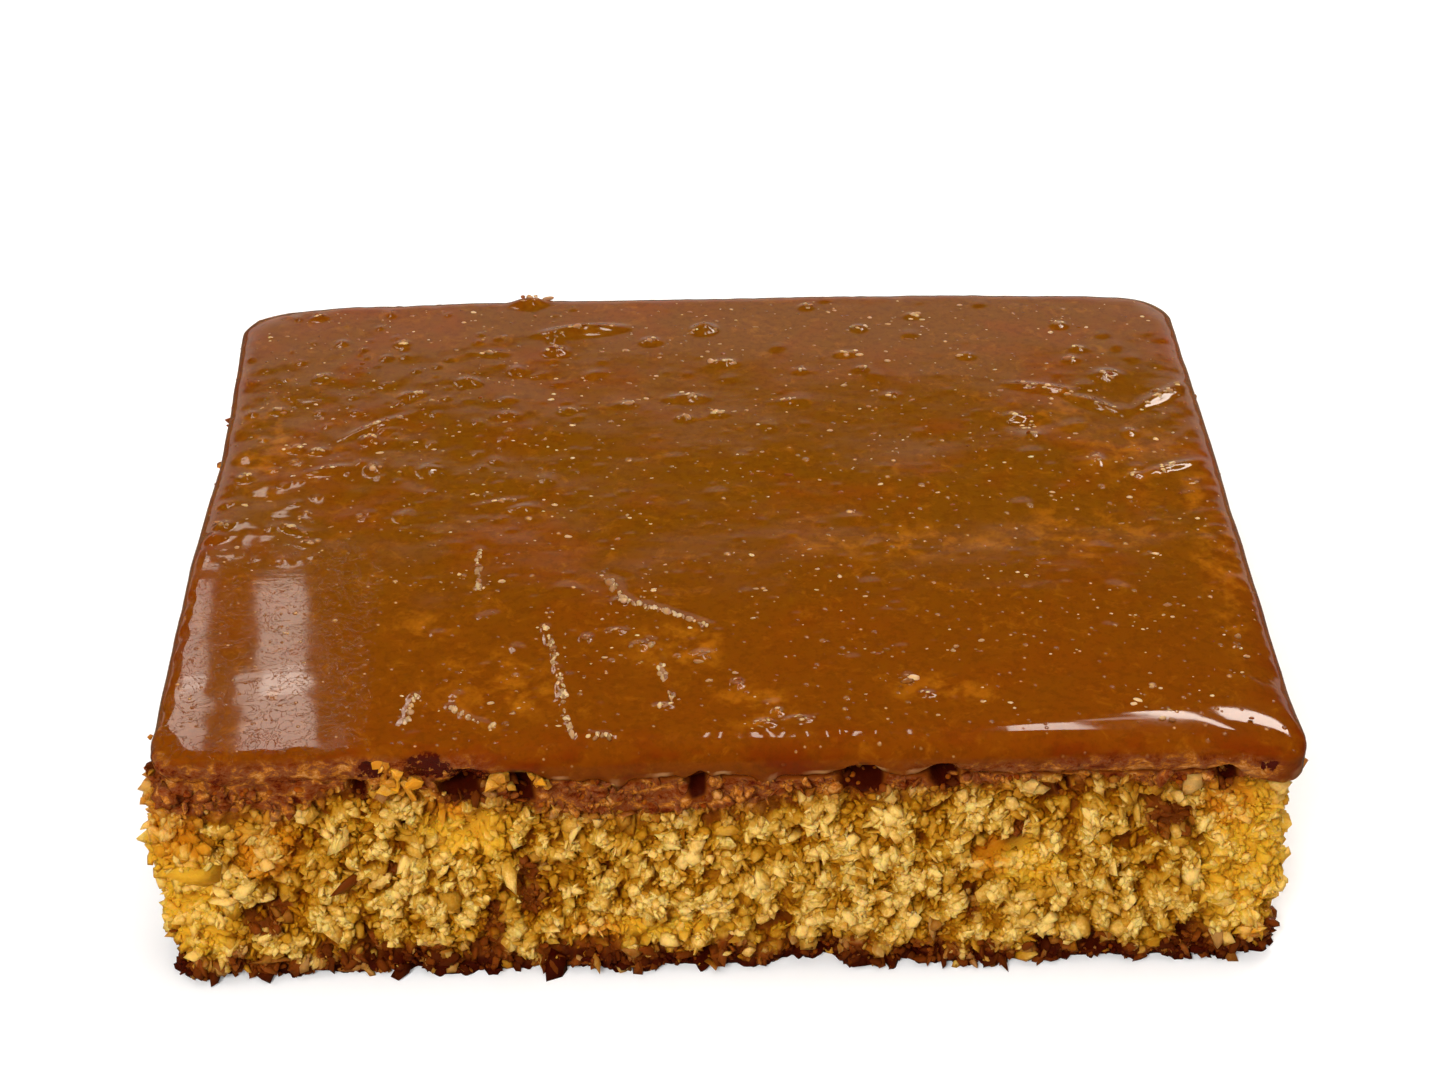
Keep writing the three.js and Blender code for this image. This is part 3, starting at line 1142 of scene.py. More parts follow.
    def sheet(self, wall: Wall) -> tuple[bmesh.types.BMesh, np.ndarray, np.ndarray]:
        """Builds one wall flat, in walk and height, and closes it round the block behind it.

        Args:
            wall: which of the two pieces.

        Returns:
            The edit mesh, and each vertex's walk and height.
        """
        start, end = self.reach(wall)
        cell = self.cell if wall is Wall.FRONT else self.rear_cell
        columns = round((end - start) / cell)
        rows = round(self.height / self.cell)
        mesh = bmesh.new()
        bmesh.ops.create_grid(mesh, x_segments=columns, y_segments=rows, size=1)
        square = coordinates(mesh)
        self.close(mesh)
        return mesh, start + (square[:, 0] + 1) / 2 * (end - start), (square[:, 1] + 1) / 2 * self.height

    @staticmethod
    def close(mesh: bmesh.types.BMesh) -> None:
        """Joins a wall's two ends, so that its bottom, its top and the face behind it close the piece.

        Args:
            mesh: the flat wall, which gets its closing faces.
        """
        limit = 1 - 1e-6
        edges = [edge for edge in mesh.edges if edge.is_boundary]
        for high in (-1, 1):
            row = [edge for edge in edges if all(high * vertex.co.y > limit for vertex in edge.verts)]
            ends = [vertex for edge in row for vertex in edge.verts if abs(vertex.co.x) > limit]
            closing = mesh.edges.new(ends)
            bmesh.ops.contextual_create(mesh, geom=[*row, closing])
        loose = [edge for edge in mesh.edges if edge.is_boundary]
        bmesh.ops.contextual_create(mesh, geom=loose)

    def build(self, wall: Wall, material: bpy.types.Material) -> bpy.types.Object:
        """Builds one of the two closed pieces.

        Args:
            wall: which one.
            material: the crumb's finish.

        Returns:
            The object.
        """
        mesh, walk, level = self.sheet(wall)
        places, attributes = self.relief(walk, level)
        move(mesh, places)
        bmesh.ops.recalc_face_normals(mesh, faces=mesh.faces)
        return Piece(wall.value, "crumb", attributes=attributes).from_bmesh(mesh, material)


# Grains.


@dataclass(frozen=True)
class Pebble:
    """A round-cornered chip that grains, crumbs and drops are copied from.

    Attributes:
        points: its vertices, about 1 from the middle.
        faces: its triangles.
    """

    points: np.ndarray
    faces: np.ndarray

    @classmethod
    def cut(cls, subdivisions: int) -> "Pebble":
        """Makes a round one.

        Args:
            subdivisions: 1 for 20 faces, 2 for 80.

        Returns:
            The pebble.
        """
        mesh = bmesh.new()
        bmesh.ops.create_icosphere(mesh, subdivisions=subdivisions, radius=1)
        faces = np.array([[vertex.index for vertex in face.verts] for face in mesh.faces])
        made = cls(coordinates(mesh), faces)
        mesh.free()
        return made

    def copies(
        self, centres: np.ndarray, radii: np.ndarray, rng: np.random.Generator, stretch: float, jitter: float
    ) -> Copies:
        """Strews copies of it, each turned, stretched and knocked about in its own way.

        Args:
            centres: middle of each copy, three columns.
            radii: mean radius of each copy.
            rng: the seeded generator.
            stretch: how uneven the three widths are.
            jitter: how far a vertex is knocked in or out, as a share of the radius.

        Returns:
            The copies.
        """
        count = len(centres)
        shape = np.tile(self.points, (count, 1, 1))
        shape *= np.exp(rng.normal(0, stretch, (count, 1, 3)))
        shape *= 1 + jitter * rng.uniform(-1, 1, (count, len(self.points), 1))
        turns, _ = np.linalg.qr(rng.normal(size=(count, 3, 3)))
        turns[:, :, 0] *= np.linalg.det(turns)[:, None]
        offsets = np.einsum("nij,nvj->nvi", turns, shape) * radii[:, None, None]
        faces = self.faces[None] + np.arange(count)[:, None, None] * len(self.points)
        points = centres[:, None] + offsets
        return Copies(points.reshape(-1, 3), faces.reshape(-1, 3), offsets.reshape(-1, 3), len(self.points))


@dataclass(frozen=True)
class GrainDrift:
    """Semolina grains that stand out of one stretch of the wall, joined in one piece.

    Attributes:
        name: the piece's name.
        start: where on the walk the stretch begins.
        end: where it ends.
        count: how many grains.
        radius: of a mean grain.
        seed: of its random draws.
        pale: how much paler the grains are than the others.
    """

    name: str
    start: float
    end: float
    count: int
    radius: float
    seed: int
    pale: float = 0.0

    def build(self, block: CrumbBlock, material: bpy.types.Material) -> bpy.types.Object:
        """Strews the grains and joins them.

        Args:
            block: the crumb block that they stick to.
            material: the crumb's finish.

        Returns:
            The object.
        """
        rng = np.random.default_rng(self.seed)
        tries = 3 * self.count
        walk = rng.uniform(self.start, self.end, tries)
        level = rng.uniform(0.35, block.height - 1.1, tries)
        form = block.form(walk, level)
        share = (0.25 + 0.75 * form.clump) * (1 - 0.6 * form.hollow) * (1 - 0.8 * form.masks["caramel"])
        kept = np.flatnonzero(rng.uniform(size=tries) < share)[: self.count]
        radii = self.radius * np.exp(np.clip(rng.normal(0, 0.3, len(kept)), -0.6, 0.4))
        sunk = rng.uniform(-0.35, 0.5, len(kept)) * radii
        depth = np.maximum(block.pressed(form.depth[kept] - 0.3 - sunk), radii - block.overhang)
        normals = form.normals[kept]
        centres = np.column_stack([form.points[kept] - normals * depth[:, None], level[kept]])
        centres[:, 2] = np.maximum(centres[:, 2], 0.75 * radii)
        grains = Pebble.cut(1).copies(centres, radii, rng, 0.42, 0.46)
        grains.settle(0.02)
        front = -block.outline.half_y - block.furthest
        grains.points[:, 1] = np.maximum(grains.points[:, 1], front)

        # Painted light and shade: each grain is paler on its outward, upward side, paler where it stands out
        # and on clumps, and darker in hollows, on top of its random tone.
        facing = grains.each(np.column_stack([normals, np.full(len(kept), 0.35)]))
        outward = np.sum(grains.offsets * facing, axis=1) / grains.each(radii)
        tone = rng.uniform(size=len(kept))
        rise = 0.05 + 0.43 * form.clump[kept] - 0.25 * form.hollow[kept] + 0.38 * tone**1.2
        rise = rise + 0.10 * sunk / radii + self.pale
        attributes = {"rise": np.clip(grains.each(rise) + 0.18 * outward, 0, 1)}
        for name, mask in form.masks.items():
            own = mask[kept]
            if name == "soak_and_shade":
                own = own * rng.uniform(size=len(kept)) ** 0.45
            attributes[name] = grains.each(own)
        return Piece(self.name, "crumb", attributes=attributes).from_copies(grains, material)


@dataclass(frozen=True)
class CrumbClusters:
    """Little clusters of crumbs at set places.

    Attributes:
        name: the piece's name.
        places: the middle of each cluster.
        stains: the least and the most of each stain, by attribute name.
        rise: the least and the most paleness.
        radii: the smallest and the largest crumb.
        count: crumbs in a cluster.
        spread: how far they lie from its middle.
        seed: of the random draws.
    """

    name: str
    places: tuple[tuple[float, float, float], ...]
    stains: dict[str, tuple[float, float]]
    rise: tuple[float, float]
    radii: tuple[float, float]
    count: int = 7
    spread: float = 0.35
    seed: int = 55

    def build(self, material: bpy.types.Material) -> bpy.types.Object:
        """Builds the crumbs as one piece, in the crumb's finish.

        Args:
            material: the crumb's finish.

        Returns:
            The object.
        """
        rng = np.random.default_rng(self.seed)
        centres = np.repeat(np.array(self.places), self.count, axis=0)
        centres = centres + rng.normal(0, self.spread, centres.shape)
        radii = rng.uniform(*self.radii, len(centres))
        crumbs = Pebble.cut(1).copies(centres, radii, rng, 0.4, 0.38)
        rise = crumbs.each(rng.uniform(*self.rise, len(centres)))
        # Painted light: each crumb is paler on its upper side.
        attributes = {"rise": np.clip(rise + 0.2 * crumbs.offsets[:, 2], 0, 1)}
        for stain, ends in self.stains.items():
            attributes[stain] = crumbs.each(rng.uniform(*ends, len(centres)))
        return Piece(self.name, "crumb", False, attributes).from_copies(crumbs, material)


# Crumbs under the glaze's rim at the sides, darkened partly as painted shade, and bright ones in its torn
# edge at the front left.
CLUSTERS = (
    CrumbClusters(
        "rim_crumbs",
        (
            (-64, 25, 27.4), (-64, 11, 27.2), (-64.6, -20.5, 27.2), (-64.8, -33, 27), (-65.2, -43, 27),
            (-65, -47.5, 27.2), (65, 28.6, 27.8), (65, 9.7, 27.6), (64.9, -12, 27.2),
        ),
        {"soak_and_shade": (0.2, 0.8), "caramel": (0.0, 1.0), "lemon": (0.0, 0.3), "orange": (0.0, 0.6)},
        (0.15, 0.55),
        (0.25, 0.55),
    ),
    CrumbClusters(
        "front_crumbs",
        (
            (-38.6, -51.2, 29.2), (-37.4, -51.3, 28.2), (-36.2, -51.4, 27.4), (-38.4, -51.6, 27),
            (-25.8, -51.4, 27.4), (-21.4, -51.4, 27.2),
        ),
        {"soak_and_shade": (0.0, 0.1), "caramel": (0.0, 0.6), "lemon": (0.0, 0.7), "orange": (0.4, 1.0)},
        (0.35, 0.75),
        (0.35, 0.75),
        9,
        0.55,
        56,
    ),
)


@dataclass(frozen=True)
class LooseCrumbs:
    """Crumbs that have dropped beside the foot.

    Attributes:
        count: how many: one half lies before the front, the other all round.
        front: length of the stretch before the front.
        reach: how far from the foot they lie, at most.
        seed: of the random draws.
    """

    count: int = 26
    front: float = 120.0
    reach: float = 1.0
    seed: int = 77

    def build(self, block: CrumbBlock, material: bpy.types.Material) -> bpy.types.Object:
        """Strews the crumbs on the ground.

        Args:
            block: the crumb block.
            material: the crumb's finish.

        Returns:
            The object.
        """
        rng = np.random.default_rng(self.seed)
        whole = sum(block.outline.lengths())
        half = self.count // 2
        walk = np.concatenate([rng.uniform(0, end, half) for end in (self.front, whole)])
        radii = rng.uniform(0.28, 0.72, len(walk))
        form = block.form(walk, np.full(len(walk), 0.5))
        depth = np.maximum(form.depth - rng.uniform(0.2, self.reach, len(walk)), radii)
        centres = np.column_stack([form.points - form.normals * depth[:, None], 0.8 * radii])
        crumbs = Pebble.cut(2).copies(centres, radii, rng, 0.2, 0.16)
        crumbs.settle(0.01)
        rise = crumbs.each(rng.uniform(0.35, 0.75, len(walk)))
        # Painted light: each crumb is paler on its upper side.
        rise += 0.12 * crumbs.offsets[:, 2] / crumbs.each(radii)
        attributes = {"rise": np.clip(rise, 0, 1)}
        for name, high in (("soak_and_shade", 0.5), ("orange", 0.6), ("lemon", 0.4), ("caramel", 0.1)):
            attributes[name] = crumbs.each(rng.uniform(0, high, len(walk)))
        return Piece("loose_crumbs", "crumb", False, attributes).from_copies(crumbs, material)


@dataclass(frozen=True)
class SyrupDrops:
    """Drops of wet caramel on the soaked crumb, under the glaze and at the foot.

    Attributes:
        count: how many.
        seed: of the random draws.
    """

    count: int = 520
    seed: int = 91

    def build(self, block: CrumbBlock, material: bpy.types.Material) -> bpy.types.Object:
        """Strews the drops.

        Args:
            block: the crumb block.
            material: the syrup's finish.

        Returns:
            The object.
        """
        rng = np.random.default_rng(self.seed)
        tries = 30 * self.count
        walk = rng.uniform(0, sum(block.outline.lengths()), tries)
        level = rng.uniform(0.4, block.height - 1.3, tries)
        form = block.form(walk, level)
        wet = np.maximum(form.masks["caramel"], 0.6 * form.masks["soak_and_shade"])
        kept = np.flatnonzero(rng.uniform(size=tries) < wet)[: self.count]
        radii = rng.uniform(0.16, 0.42, len(kept))
        depth = np.maximum(form.depth[kept] - 0.25 * radii, radii - 0.2)
        centres = np.column_stack([form.points[kept] - form.normals[kept] * depth[:, None], level[kept]])
        drops = Pebble.cut(2).copies(centres, radii, rng, 0.25, 0.05)
        drops.settle(0.01)
        return Piece("syrup_drops", "caramel").from_copies(drops, material)


# The glaze.


@dataclass(frozen=True)
class Lump:
    """A mound, ridge or pit in the glaze's top: centre, length, width, height, and turn in degrees."""

    x: float
    y: float
    length: float
    width: float
    height: float
    turn: float = 0.0

    def at(self, x: np.ndarray, y: np.ndarray) -> np.ndarray:
        """Works out what it adds to the top.

        Args:
            x: each point's place to the right.
            y: each point's place to the back.

        Returns:
            The height that it adds, in millimetres.
        """
        angle = math.radians(self.turn)
        along = (x - self.x) * math.cos(angle) + (y - self.y) * math.sin(angle)
        aside = (y - self.y) * math.cos(angle) - (x - self.x) * math.sin(angle)
        away = np.hypot(along / (self.length / 2), aside / (self.width / 2))
        return self.height * (1 - step(0, 1.15, away))


@dataclass(frozen=True)
class Fold:
    """A drag mark: a thin uneven ridge along a line, with a groove on its left."""

    line: tuple[tuple[float, float], ...]
    width: float
    height: float

    def at(self, x: np.ndarray, y: np.ndarray) -> np.ndarray:
        """Works out what it adds to the top.

        Args:
            x: each point's place to the right.
            y: each point's place to the back.

        Returns:
            The height that it adds, in millimetres.
        """
        nearest = np.full(len(x), 1e9)
        signed = np.full(len(x), 1e9)
        for (ax, ay), (bx, by) in zip(self.line, self.line[1:]):
            run = math.hypot(bx - ax, by - ay)
            ux, uy = (bx - ax) / run, (by - ay) / run
            along = np.clip((x - ax) * ux + (y - ay) * uy, 0, run)
            away = np.hypot(x - ax - along * ux, y - ay - along * uy)
            side = (x - ax) * uy - (y - ay) * ux
            closer = away < nearest
            nearest = np.where(closer, away, nearest)
            signed = np.where(closer, np.sign(side) * away, signed)
        uneven = 0.75 + 0.5 * wave(np.column_stack([x, y]), 1.5, 251)
        ridge = np.exp(-((signed / self.width) ** 2))
        groove = np.exp(-(((signed + 1.7 * self.width) / self.width) ** 2))
        return self.height * uneven * (ridge - 0.55 * groove)

    def beads(self, rng: np.random.Generator) -> np.ndarray:
        """Places the grains that were dragged along it.

        Args:
            rng: the seeded generator.

        Returns:
            Each grain's place on the plan and its radius, three columns.
        """
        rows = []
        for (ax, ay), (bx, by) in zip(self.line, self.line[1:]):
            run = math.hypot(bx - ax, by - ay)
            part = rng.uniform(0, 1, round(run * 5.0))
            spread = rng.normal(0, 0.17, (len(part), 2))
            here = np.column_stack([ax + part * (bx - ax), ay + part * (by - ay)]) + spread
            bow = 0.35 * np.column_stack([wave(here, 3.0, 255), wave(here, 3.0, 256)])
            rows.append(np.column_stack([here + bow, rng.uniform(0.12, 0.38, len(part))]))
        joined = np.vstack(rows)
        return joined[wave(joined[:, :2], 2.2, 257) > -0.28]


# The top's lumps by where they lie: x, y, length, width, height and, where it is turned, turn.
LEFT_LUMPS = (
    (-54.2, 46.9, 2.6, 2.2, 0.35), (-42, 38.1, 2.6, 2, 0.35), (-52.2, 29.9, 2.8, 2.6, 0.4),
    (-29.3, 34.8, 5, 2.2, 0.2), (-39.2, 24.6, 3, 1.8, 0.35, 20), (-44, 17.1, 12, 2.2, 0.45, 32),
    (-44.8, 13.8, 2.4, 3, 0.45), (-43.7, 6.8, 2, 3.6, 0.5), (-54.1, 12.3, 2.2, 2.2, 0.4),
    (-51, 11.5, 2.8, 2, 0.35), (-48.9, 7, 7, 2.4, 0.4, 8), (-60.1, 6.1, 2.4, 2.4, 0.45),
    (-61.8, -4.9, 2.6, 2.4, 0.45), (-57.3, 22, 2.2, 2, 0.35), (-52.9, -6.2, 5, 1.5, 0.35, -38),
    (-50.6, -9.6, 2.4, 1.6, 0.3), (-27.2, -1.5, 8, 1.8, 0.2, 15),
)

BACK_LUMPS = (
    (-17.4, 40.4, 14, 3.6, 0.9, 7), (-21, 34.8, 3.6, 3, 0.75), (-8.1, 37.2, 3.4, 2.6, 0.4),
    (-0.7, 40.3, 4.2, 3.6, 0.8), (1.8, 31.1, 4.2, 2.2, 0.4), (-3.4, 22.4, 6.4, 2.4, 0.5),
    (-11.3, 21.1, 3, 2, 0.3), (-19.1, 19.8, 3, 2, 0.3), (-3.7, 17.4, 2.8, 1.8, 0.3),
    (0.7, 18.3, 2.8, 1.8, 0.28), (10.1, 21, 3, 1.8, 0.3), (13.6, 46.3, 2.6, 2.2, 0.35),
    (20.6, 40, 2.6, 2.4, 0.42), (18.2, 33, 3.6, 2, 0.28), (20.3, 29, 2.6, 1.8, 0.3),
    (12, 28.7, 2.2, 1.8, 0.25), (23.7, 22.2, 2.8, 1.8, 0.3), (34.7, 32.1, 2.6, 2, 0.3),
    (28.2, 43.4, 2.6, 2, 0.3), (-25, 49, 7, 5, 0.8),
)

RIGHT_LUMPS = (
    (48.3, 40.6, 2.6, 2.4, 0.4), (50.2, 34.1, 2.6, 1.8, 0.3), (48.8, 31.2, 2.6, 2, 0.3),
    (53.2, 27.1, 4.6, 3.8, 0.6), (53.7, 26.6, 2, 1.8, -0.45), (44, 23.8, 11, 2.6, 0.5, -12),
    (50.5, 19.8, 10, 2.6, 0.5, -34), (60, 22.5, 14, 2.8, 0.45, 42), (41, 14.5, 6.4, 5, -0.38),
    (39.5, 16.6, 3, 1.8, 0.3), (41.5, 12.2, 1.8, 1.6, 0.35), (54.2, 12.9, 2, 2.4, 0.35),
    (49.2, 6, 1.6, 3.6, 0.42), (53.6, 2.6, 2, 1.6, 0.3), (58.5, 4.6, 10, 2, 0.35, 24),
)

FRONT_LUMPS = (
    (-12, -23.6, 2.4, 2.2, 0.45), (-16, -30.9, 1.6, 2.4, 0.35), (-12.4, -29.6, 3, 1.6, 0.35),
    (-9.8, -32.5, 2.4, 2.2, 0.45), (-7.1, -43.9, 2.8, 1.4, 0.35), (-2.5, -34.3, 3, 2.4, 0.25),
    (1.4, -40, 1.6, 2.4, 0.42), (4.3, -47.3, 3, 2.2, 0.4), (5.8, -45.3, 1.4, 2.4, 0.42),
    (7.9, -46.7, 4, 1.6, 0.35), (21.1, -39.9, 1.8, 3, 0.2), (23, -42.6, 2.2, 1.6, 0.28),
)

LUMPS = tuple(Lump(*row) for row in (*LEFT_LUMPS, *BACK_LUMPS, *RIGHT_LUMPS, *FRONT_LUMPS))

FOLDS = (
    Fold(((-29.4, -11.9), (-29.6, -16), (-29, -20.4)), 0.6, 0.10),
    Fold(((-20.9, -28.5), (-19, -37.5), (-18.3, -44), (-17.5, -48.4)), 0.7, 0.14),
    Fold(((-8.4, -31.5), (-7.8, -34.1), (-6.0, -43.0)), 0.6, 0.14),
    Fold(((-13, -19.2), (-12, -23.6), (-7.8, -25.3), (-2.1, -28.5)), 0.8, 0.14),
    Fold(((-31.4, -43.1), (-29, -45.6), (-26.2, -46.9)), 0.6, 0.12),
    Fold(((-35.5, -41), (-36.4, -46)), 0.6, 0.12),
    Fold(((-15.6, -48.7), (-13.2, -49.0)), 0.6, 0.14),
)


@dataclass(frozen=True)
class Thin:
    """A place where the glaze is thin and glows orange: centre, width and depth."""

    x: float
    y: float
    width: float
    depth: float

    def at(self, places: np.ndarray) -> np.ndarray:
        """How far each point belongs to it: 1 in the middle, 0 outside, with a wandering edge."""
        across = (places[:, 0] - self.x) / (self.width / 2)
        back = (places[:, 1] - self.y) / (self.depth / 2)
        return 1 - step(0.3, 1.1, np.hypot(across, back) + 0.35 * wave(places, 4.0, 261))


THIN_PATCHES = tuple(
    Thin(*row)
    for row in (
        (22, -12, 34, 10), (44, -10, 26, 14), (44, 17, 16, 10), (53, 7, 16, 18), (-26, -40, 20, 16),
        (-36, -28, 12, 10), (-5, -33, 18, 12), (3, -44, 14, 10), (25, -42, 14, 8), (61, -14, 7, 60),
        (-58, 12, 10, 30),
    )
)


@dataclass(frozen=True)
class Notch:
    """A place at the front where the glaze's lower edge is raised, or hangs down: middle, width and rise."""

    x: float
    width: float
    rise: float

    def at(self, x: np.ndarray) -> np.ndarray:
        """How much higher the edge stands at each point."""
        return self.rise * np.exp(-(((x - self.x) / (self.width / 2)) ** 2))


NOTCHES = tuple(
    Notch(*row)
    for row in (
        (-24, 5, 2.3), (-30, 3, 1.2), (-12.5, 2.2, -1.1), (4.4, 2.4, -1.5), (-3.2, 2, 1),
        (15.2, 4.4, 2.1), (24.4, 4, 1.7), (33, 3, -0.6), (56.8, 3.4, 1.4),
    )
)


@dataclass
class CaramelGlaze:
    """The caramel layer: waved top, rounded rim, ragged lower edge.

    Attributes:
        outline: the glaze's furthest reach, seen from above.
        corner_height: height of the top at its corners.
        under: height of the glaze's underside over the cake.
        dome: how much higher the middle is than the corners.
        back_rise: how much higher still the middle of the back edge is.
        tilt: how much the right side is higher, and the left side lower.
        bulge: how far the front right corner stands out, and the left side is drawn in behind its middle.
        roll: how far in from the side the top begins to round over.
        narrow_roll: the same round the front left corner.
        wide_roll: how much more that is at the front right corner, where the glaze has gathered.
        roll_drop: how far down the rounding reaches.
        low: height of the lower edge, on average.
        tuck: how far the lower edge tucks in.
        thickness: of the skirt.
        cells: columns and rows of the top.
        front_cell: size of a row at the front, as a share of the mean row.
        roll_rows: rows of the rounding.
        skirt_rows: rows of the skirt below it.
        waves: heights of the top's broad, middling and fine waves.
        rim_waves: heights of the rim's broad and fine waves.
        pit_depth: depth of the pits in the front edge.
        bead_height: how far the grains under the skin push it up.
        bumps: small grains under the skin.
        beads: large ones.
    """

    outline: Outline
    corner_height: float
    under: float
    dome: float = 1.3
    back_rise: float = 0.9
    tilt: float = 0.3
    bulge: float = 0.9
    roll: float = 3.4
    narrow_roll: float = 1.7
    wide_roll: float = 4.0
    roll_drop: float = 2.6
    low: float = 27.4
    tuck: float = 0.45
    thickness: float = 1.35
    cells: tuple[int, int] = (300, 262)
    front_cell: float = 0.66
    roll_rows: int = 9
    skirt_rows: int = 5
    waves: tuple[float, float, float] = (0.14, 0.10, 0.03)
    rim_waves: tuple[float, float] = (0.08, 0.04)
    pit_depth: float = 0.6
    bead_height: float = 0.26

    bumps: GrainBed = GrainBed(2.6, 0.22, 0.0, 0.30, 211)
    beads: GrainBed = GrainBed(7.0, 0.20, 0.0, 0.40, 231)

    def crown(self, place: np.ndarray) -> np.ndarray:
        """Height of the top at each point of the plan.

        Args:
            place: points of the plan, two columns.

        Returns:
            The height in millimetres.
        """
        x, y = place.T
        u, v = x / self.outline.half_x, y / self.outline.half_y
        uneven = 0.25 + 0.75 * step(-25, 15, y) * (1 - step(-34, -8, x))
        calm = 1 - np.maximum(self.mirror(place), 0.9 * self.glassy(place))
        top = self.corner_height + self.dome * (1 - 0.5 * (u**4 + v**4)) + self.tilt * u
        top += self.back_rise * (1 - u**4) * step(-0.2, 1, v)
        broad, middling, fine = self.waves
        swell = middling * wave(place, 6, 202) + fine * wave(place, 2.4, 203)
        top += calm * (broad * wave(place, 16, 201) + uneven * swell)
        for feature in (*LUMPS, *FOLDS):
            top += feature.at(x, y)
        side = np.minimum(self.outline.half_x - np.abs(x), self.outline.half_y - np.abs(y))
        rim = calm * (1 - self.glassy(place)) * (1 - step(3, 8, side))
        top += rim * (self.rim_waves[0] * wave(place, 3.4, 204) + self.rim_waves[1] * wave(place, 1.7, 205))
        for bed in (self.bumps, self.beads):
            top += calm * uneven * self.bead_height * bed.at(place) ** 2 / (bed.width * bed.spacing)
        return top

    def glassy(self, place: np.ndarray) -> np.ndarray:
        """1 along the right part of the front rim, which is smooth."""
        x, y = place.T
        return step(18, 28, x) * (1 - step(5, 9, y + self.outline.half_y))

    def swollen(self, place: np.ndarray) -> np.ndarray:
        """1 at the front right corner, fading out to the left and the back."""
        x, y = place.T
        return step(24, 62, x) * (1 - step(-40, -18, y))

    def narrow(self, place: np.ndarray) -> np.ndarray:
        """1 round the front left corner, where the rim is less rounded."""
        x, y = place.T
        return (1 - step(-34, -24, x)) * (1 - step(-14, -4, y))

    def mirror(self, place: np.ndarray) -> np.ndarray:
        """1 where the glaze lies calm and shows the windows, near its front left corner."""
        x, y = place.T
        return step(-70, -62, x) * (1 - step(-40, -33, x)) * (1 - step(-16, -8, y))

    def torn(self, place: np.ndarray) -> np.ndarray:
        """1 along the left third of the front, where the glaze runs into the crumb without a rounded rim."""
        x, y = place.T
        return (1 - step(-31, -24, x)) * (1 - step(3, 8, y + self.outline.half_y))

    def skirt_low(self, place: np.ndarray) -> np.ndarray:
        """Height of the ragged lower edge at each point of the outline.

        Args:
            place: points of the outline, two columns.

        Returns:
            The height in millimetres.
        """
        ragged = 0.35 * wave(place, 7, 221) + 0.32 * wave(place, 2.4, 222) + 0.22 * wave(place, 1.0, 223)
        ragged += self.torn(place) * (1.2 * wave(place, 4.2, 224) + 0.9 * wave(place, 1.9, 225) - 0.3)
        front = place[:, 1] < 0
        return self.low + ragged + front * sum(notch.at(place[:, 0]) for notch in NOTCHES)

    def build(self, material: bpy.types.Material) -> bpy.types.Object:
        """Builds the closed glaze.

        Args:
            material: the caramel finish.

        Returns:
            The object.
        """
        mesh = bmesh.new()
        bmesh.ops.create_grid(mesh, x_segments=self.cells[0], y_segments=self.cells[1], size=1)
        rows = self.roll_rows + self.skirt_rows + 2
        for _ in range(rows):
            rim = [edge for edge in mesh.edges if edge.is_boundary]
            grown = bmesh.ops.extrude_edge_only(mesh, edges=rim)["geom"]
            fresh = [part for part in grown if isinstance(part, bmesh.types.BMVert)]
            bmesh.ops.translate(mesh, verts=fresh, vec=(0, 0, 1))
        rim = [edge for edge in mesh.edges if edge.is_boundary]
        bmesh.ops.contextual_create(mesh, geom=rim)
        plan = coordinates(mesh)
        back = (plan[:, 1] + 1) / 2
        back = 2 * back * (self.front_cell + (1 - self.front_cell) * back) - 1
        square = np.column_stack([plan[:, 0], back])
        places, attributes = self.shape(square, np.round(plan[:, 2]))
        move(mesh, places)
        bmesh.ops.recalc_face_normals(mesh, faces=mesh.faces)
        return Piece("caramel_top", "caramel", attributes=attributes).from_bmesh(mesh, material)

    def shape(self, square: np.ndarray, row: np.ndarray) -> tuple[np.ndarray, dict[str, np.ndarray]]:
        """Turns the flat sheet and its rows of rim into the glaze.

        Args:
            square: each vertex's place in the unit square.
            row: 0 on the top, then one more for each ring below its edge.

        Returns:
            Places in millimetres, and each attribute of the finish.
        """
        edge = self.outline.spread(square, np.zeros(len(row)))
        torn = self.torn(edge)
        angle = np.clip(row / self.roll_rows, 0, 1) * math.pi / 2
        narrow_roll = np.maximum(self.narrow_roll + 0.8 * wave(edge, 3.4, 264), 0.9)
        roll = mix(self.roll, narrow_roll, self.narrow(edge)) + self.wide_roll * self.swollen(edge)
        inset = roll * (1 - np.sin(angle))
        skirt = np.clip((row - self.roll_rows) / self.skirt_rows, 0, 1)
        away = np.hypot(edge[:, 0] - self.outline.half_x, edge[:, 1] + self.outline.half_y)
        corner = np.exp(-((away / 8) ** 2))
        low = self.skirt_low(edge) - 1.4 * corner
        tuck = mix(self.tuck, 1.0, torn) * (1 - corner)
        inset += tuck * skirt**2
        last = self.roll_rows + self.skirt_rows
        inset += (self.thickness - tuck) * (row > last) + 0.7 * (row > last + 1)
        drawn_in = step(-40, -64, edge[:, 0]) * np.exp(-(((edge[:, 1] - 18) / 20) ** 2))
        inset += self.bulge * (drawn_in - corner)
        plan = self.outline.spread(square, inset)
        drop = mix(self.roll_drop, 1.7, torn)
        top = self.crown(plan) - drop * (1 - np.cos(angle))
        height = np.where(row <= self.roll_rows, top, top + (low - top) * skirt)
        height = np.where(row > last, low + 0.3, height)
        height = np.where(row > last + 1, self.under, height)

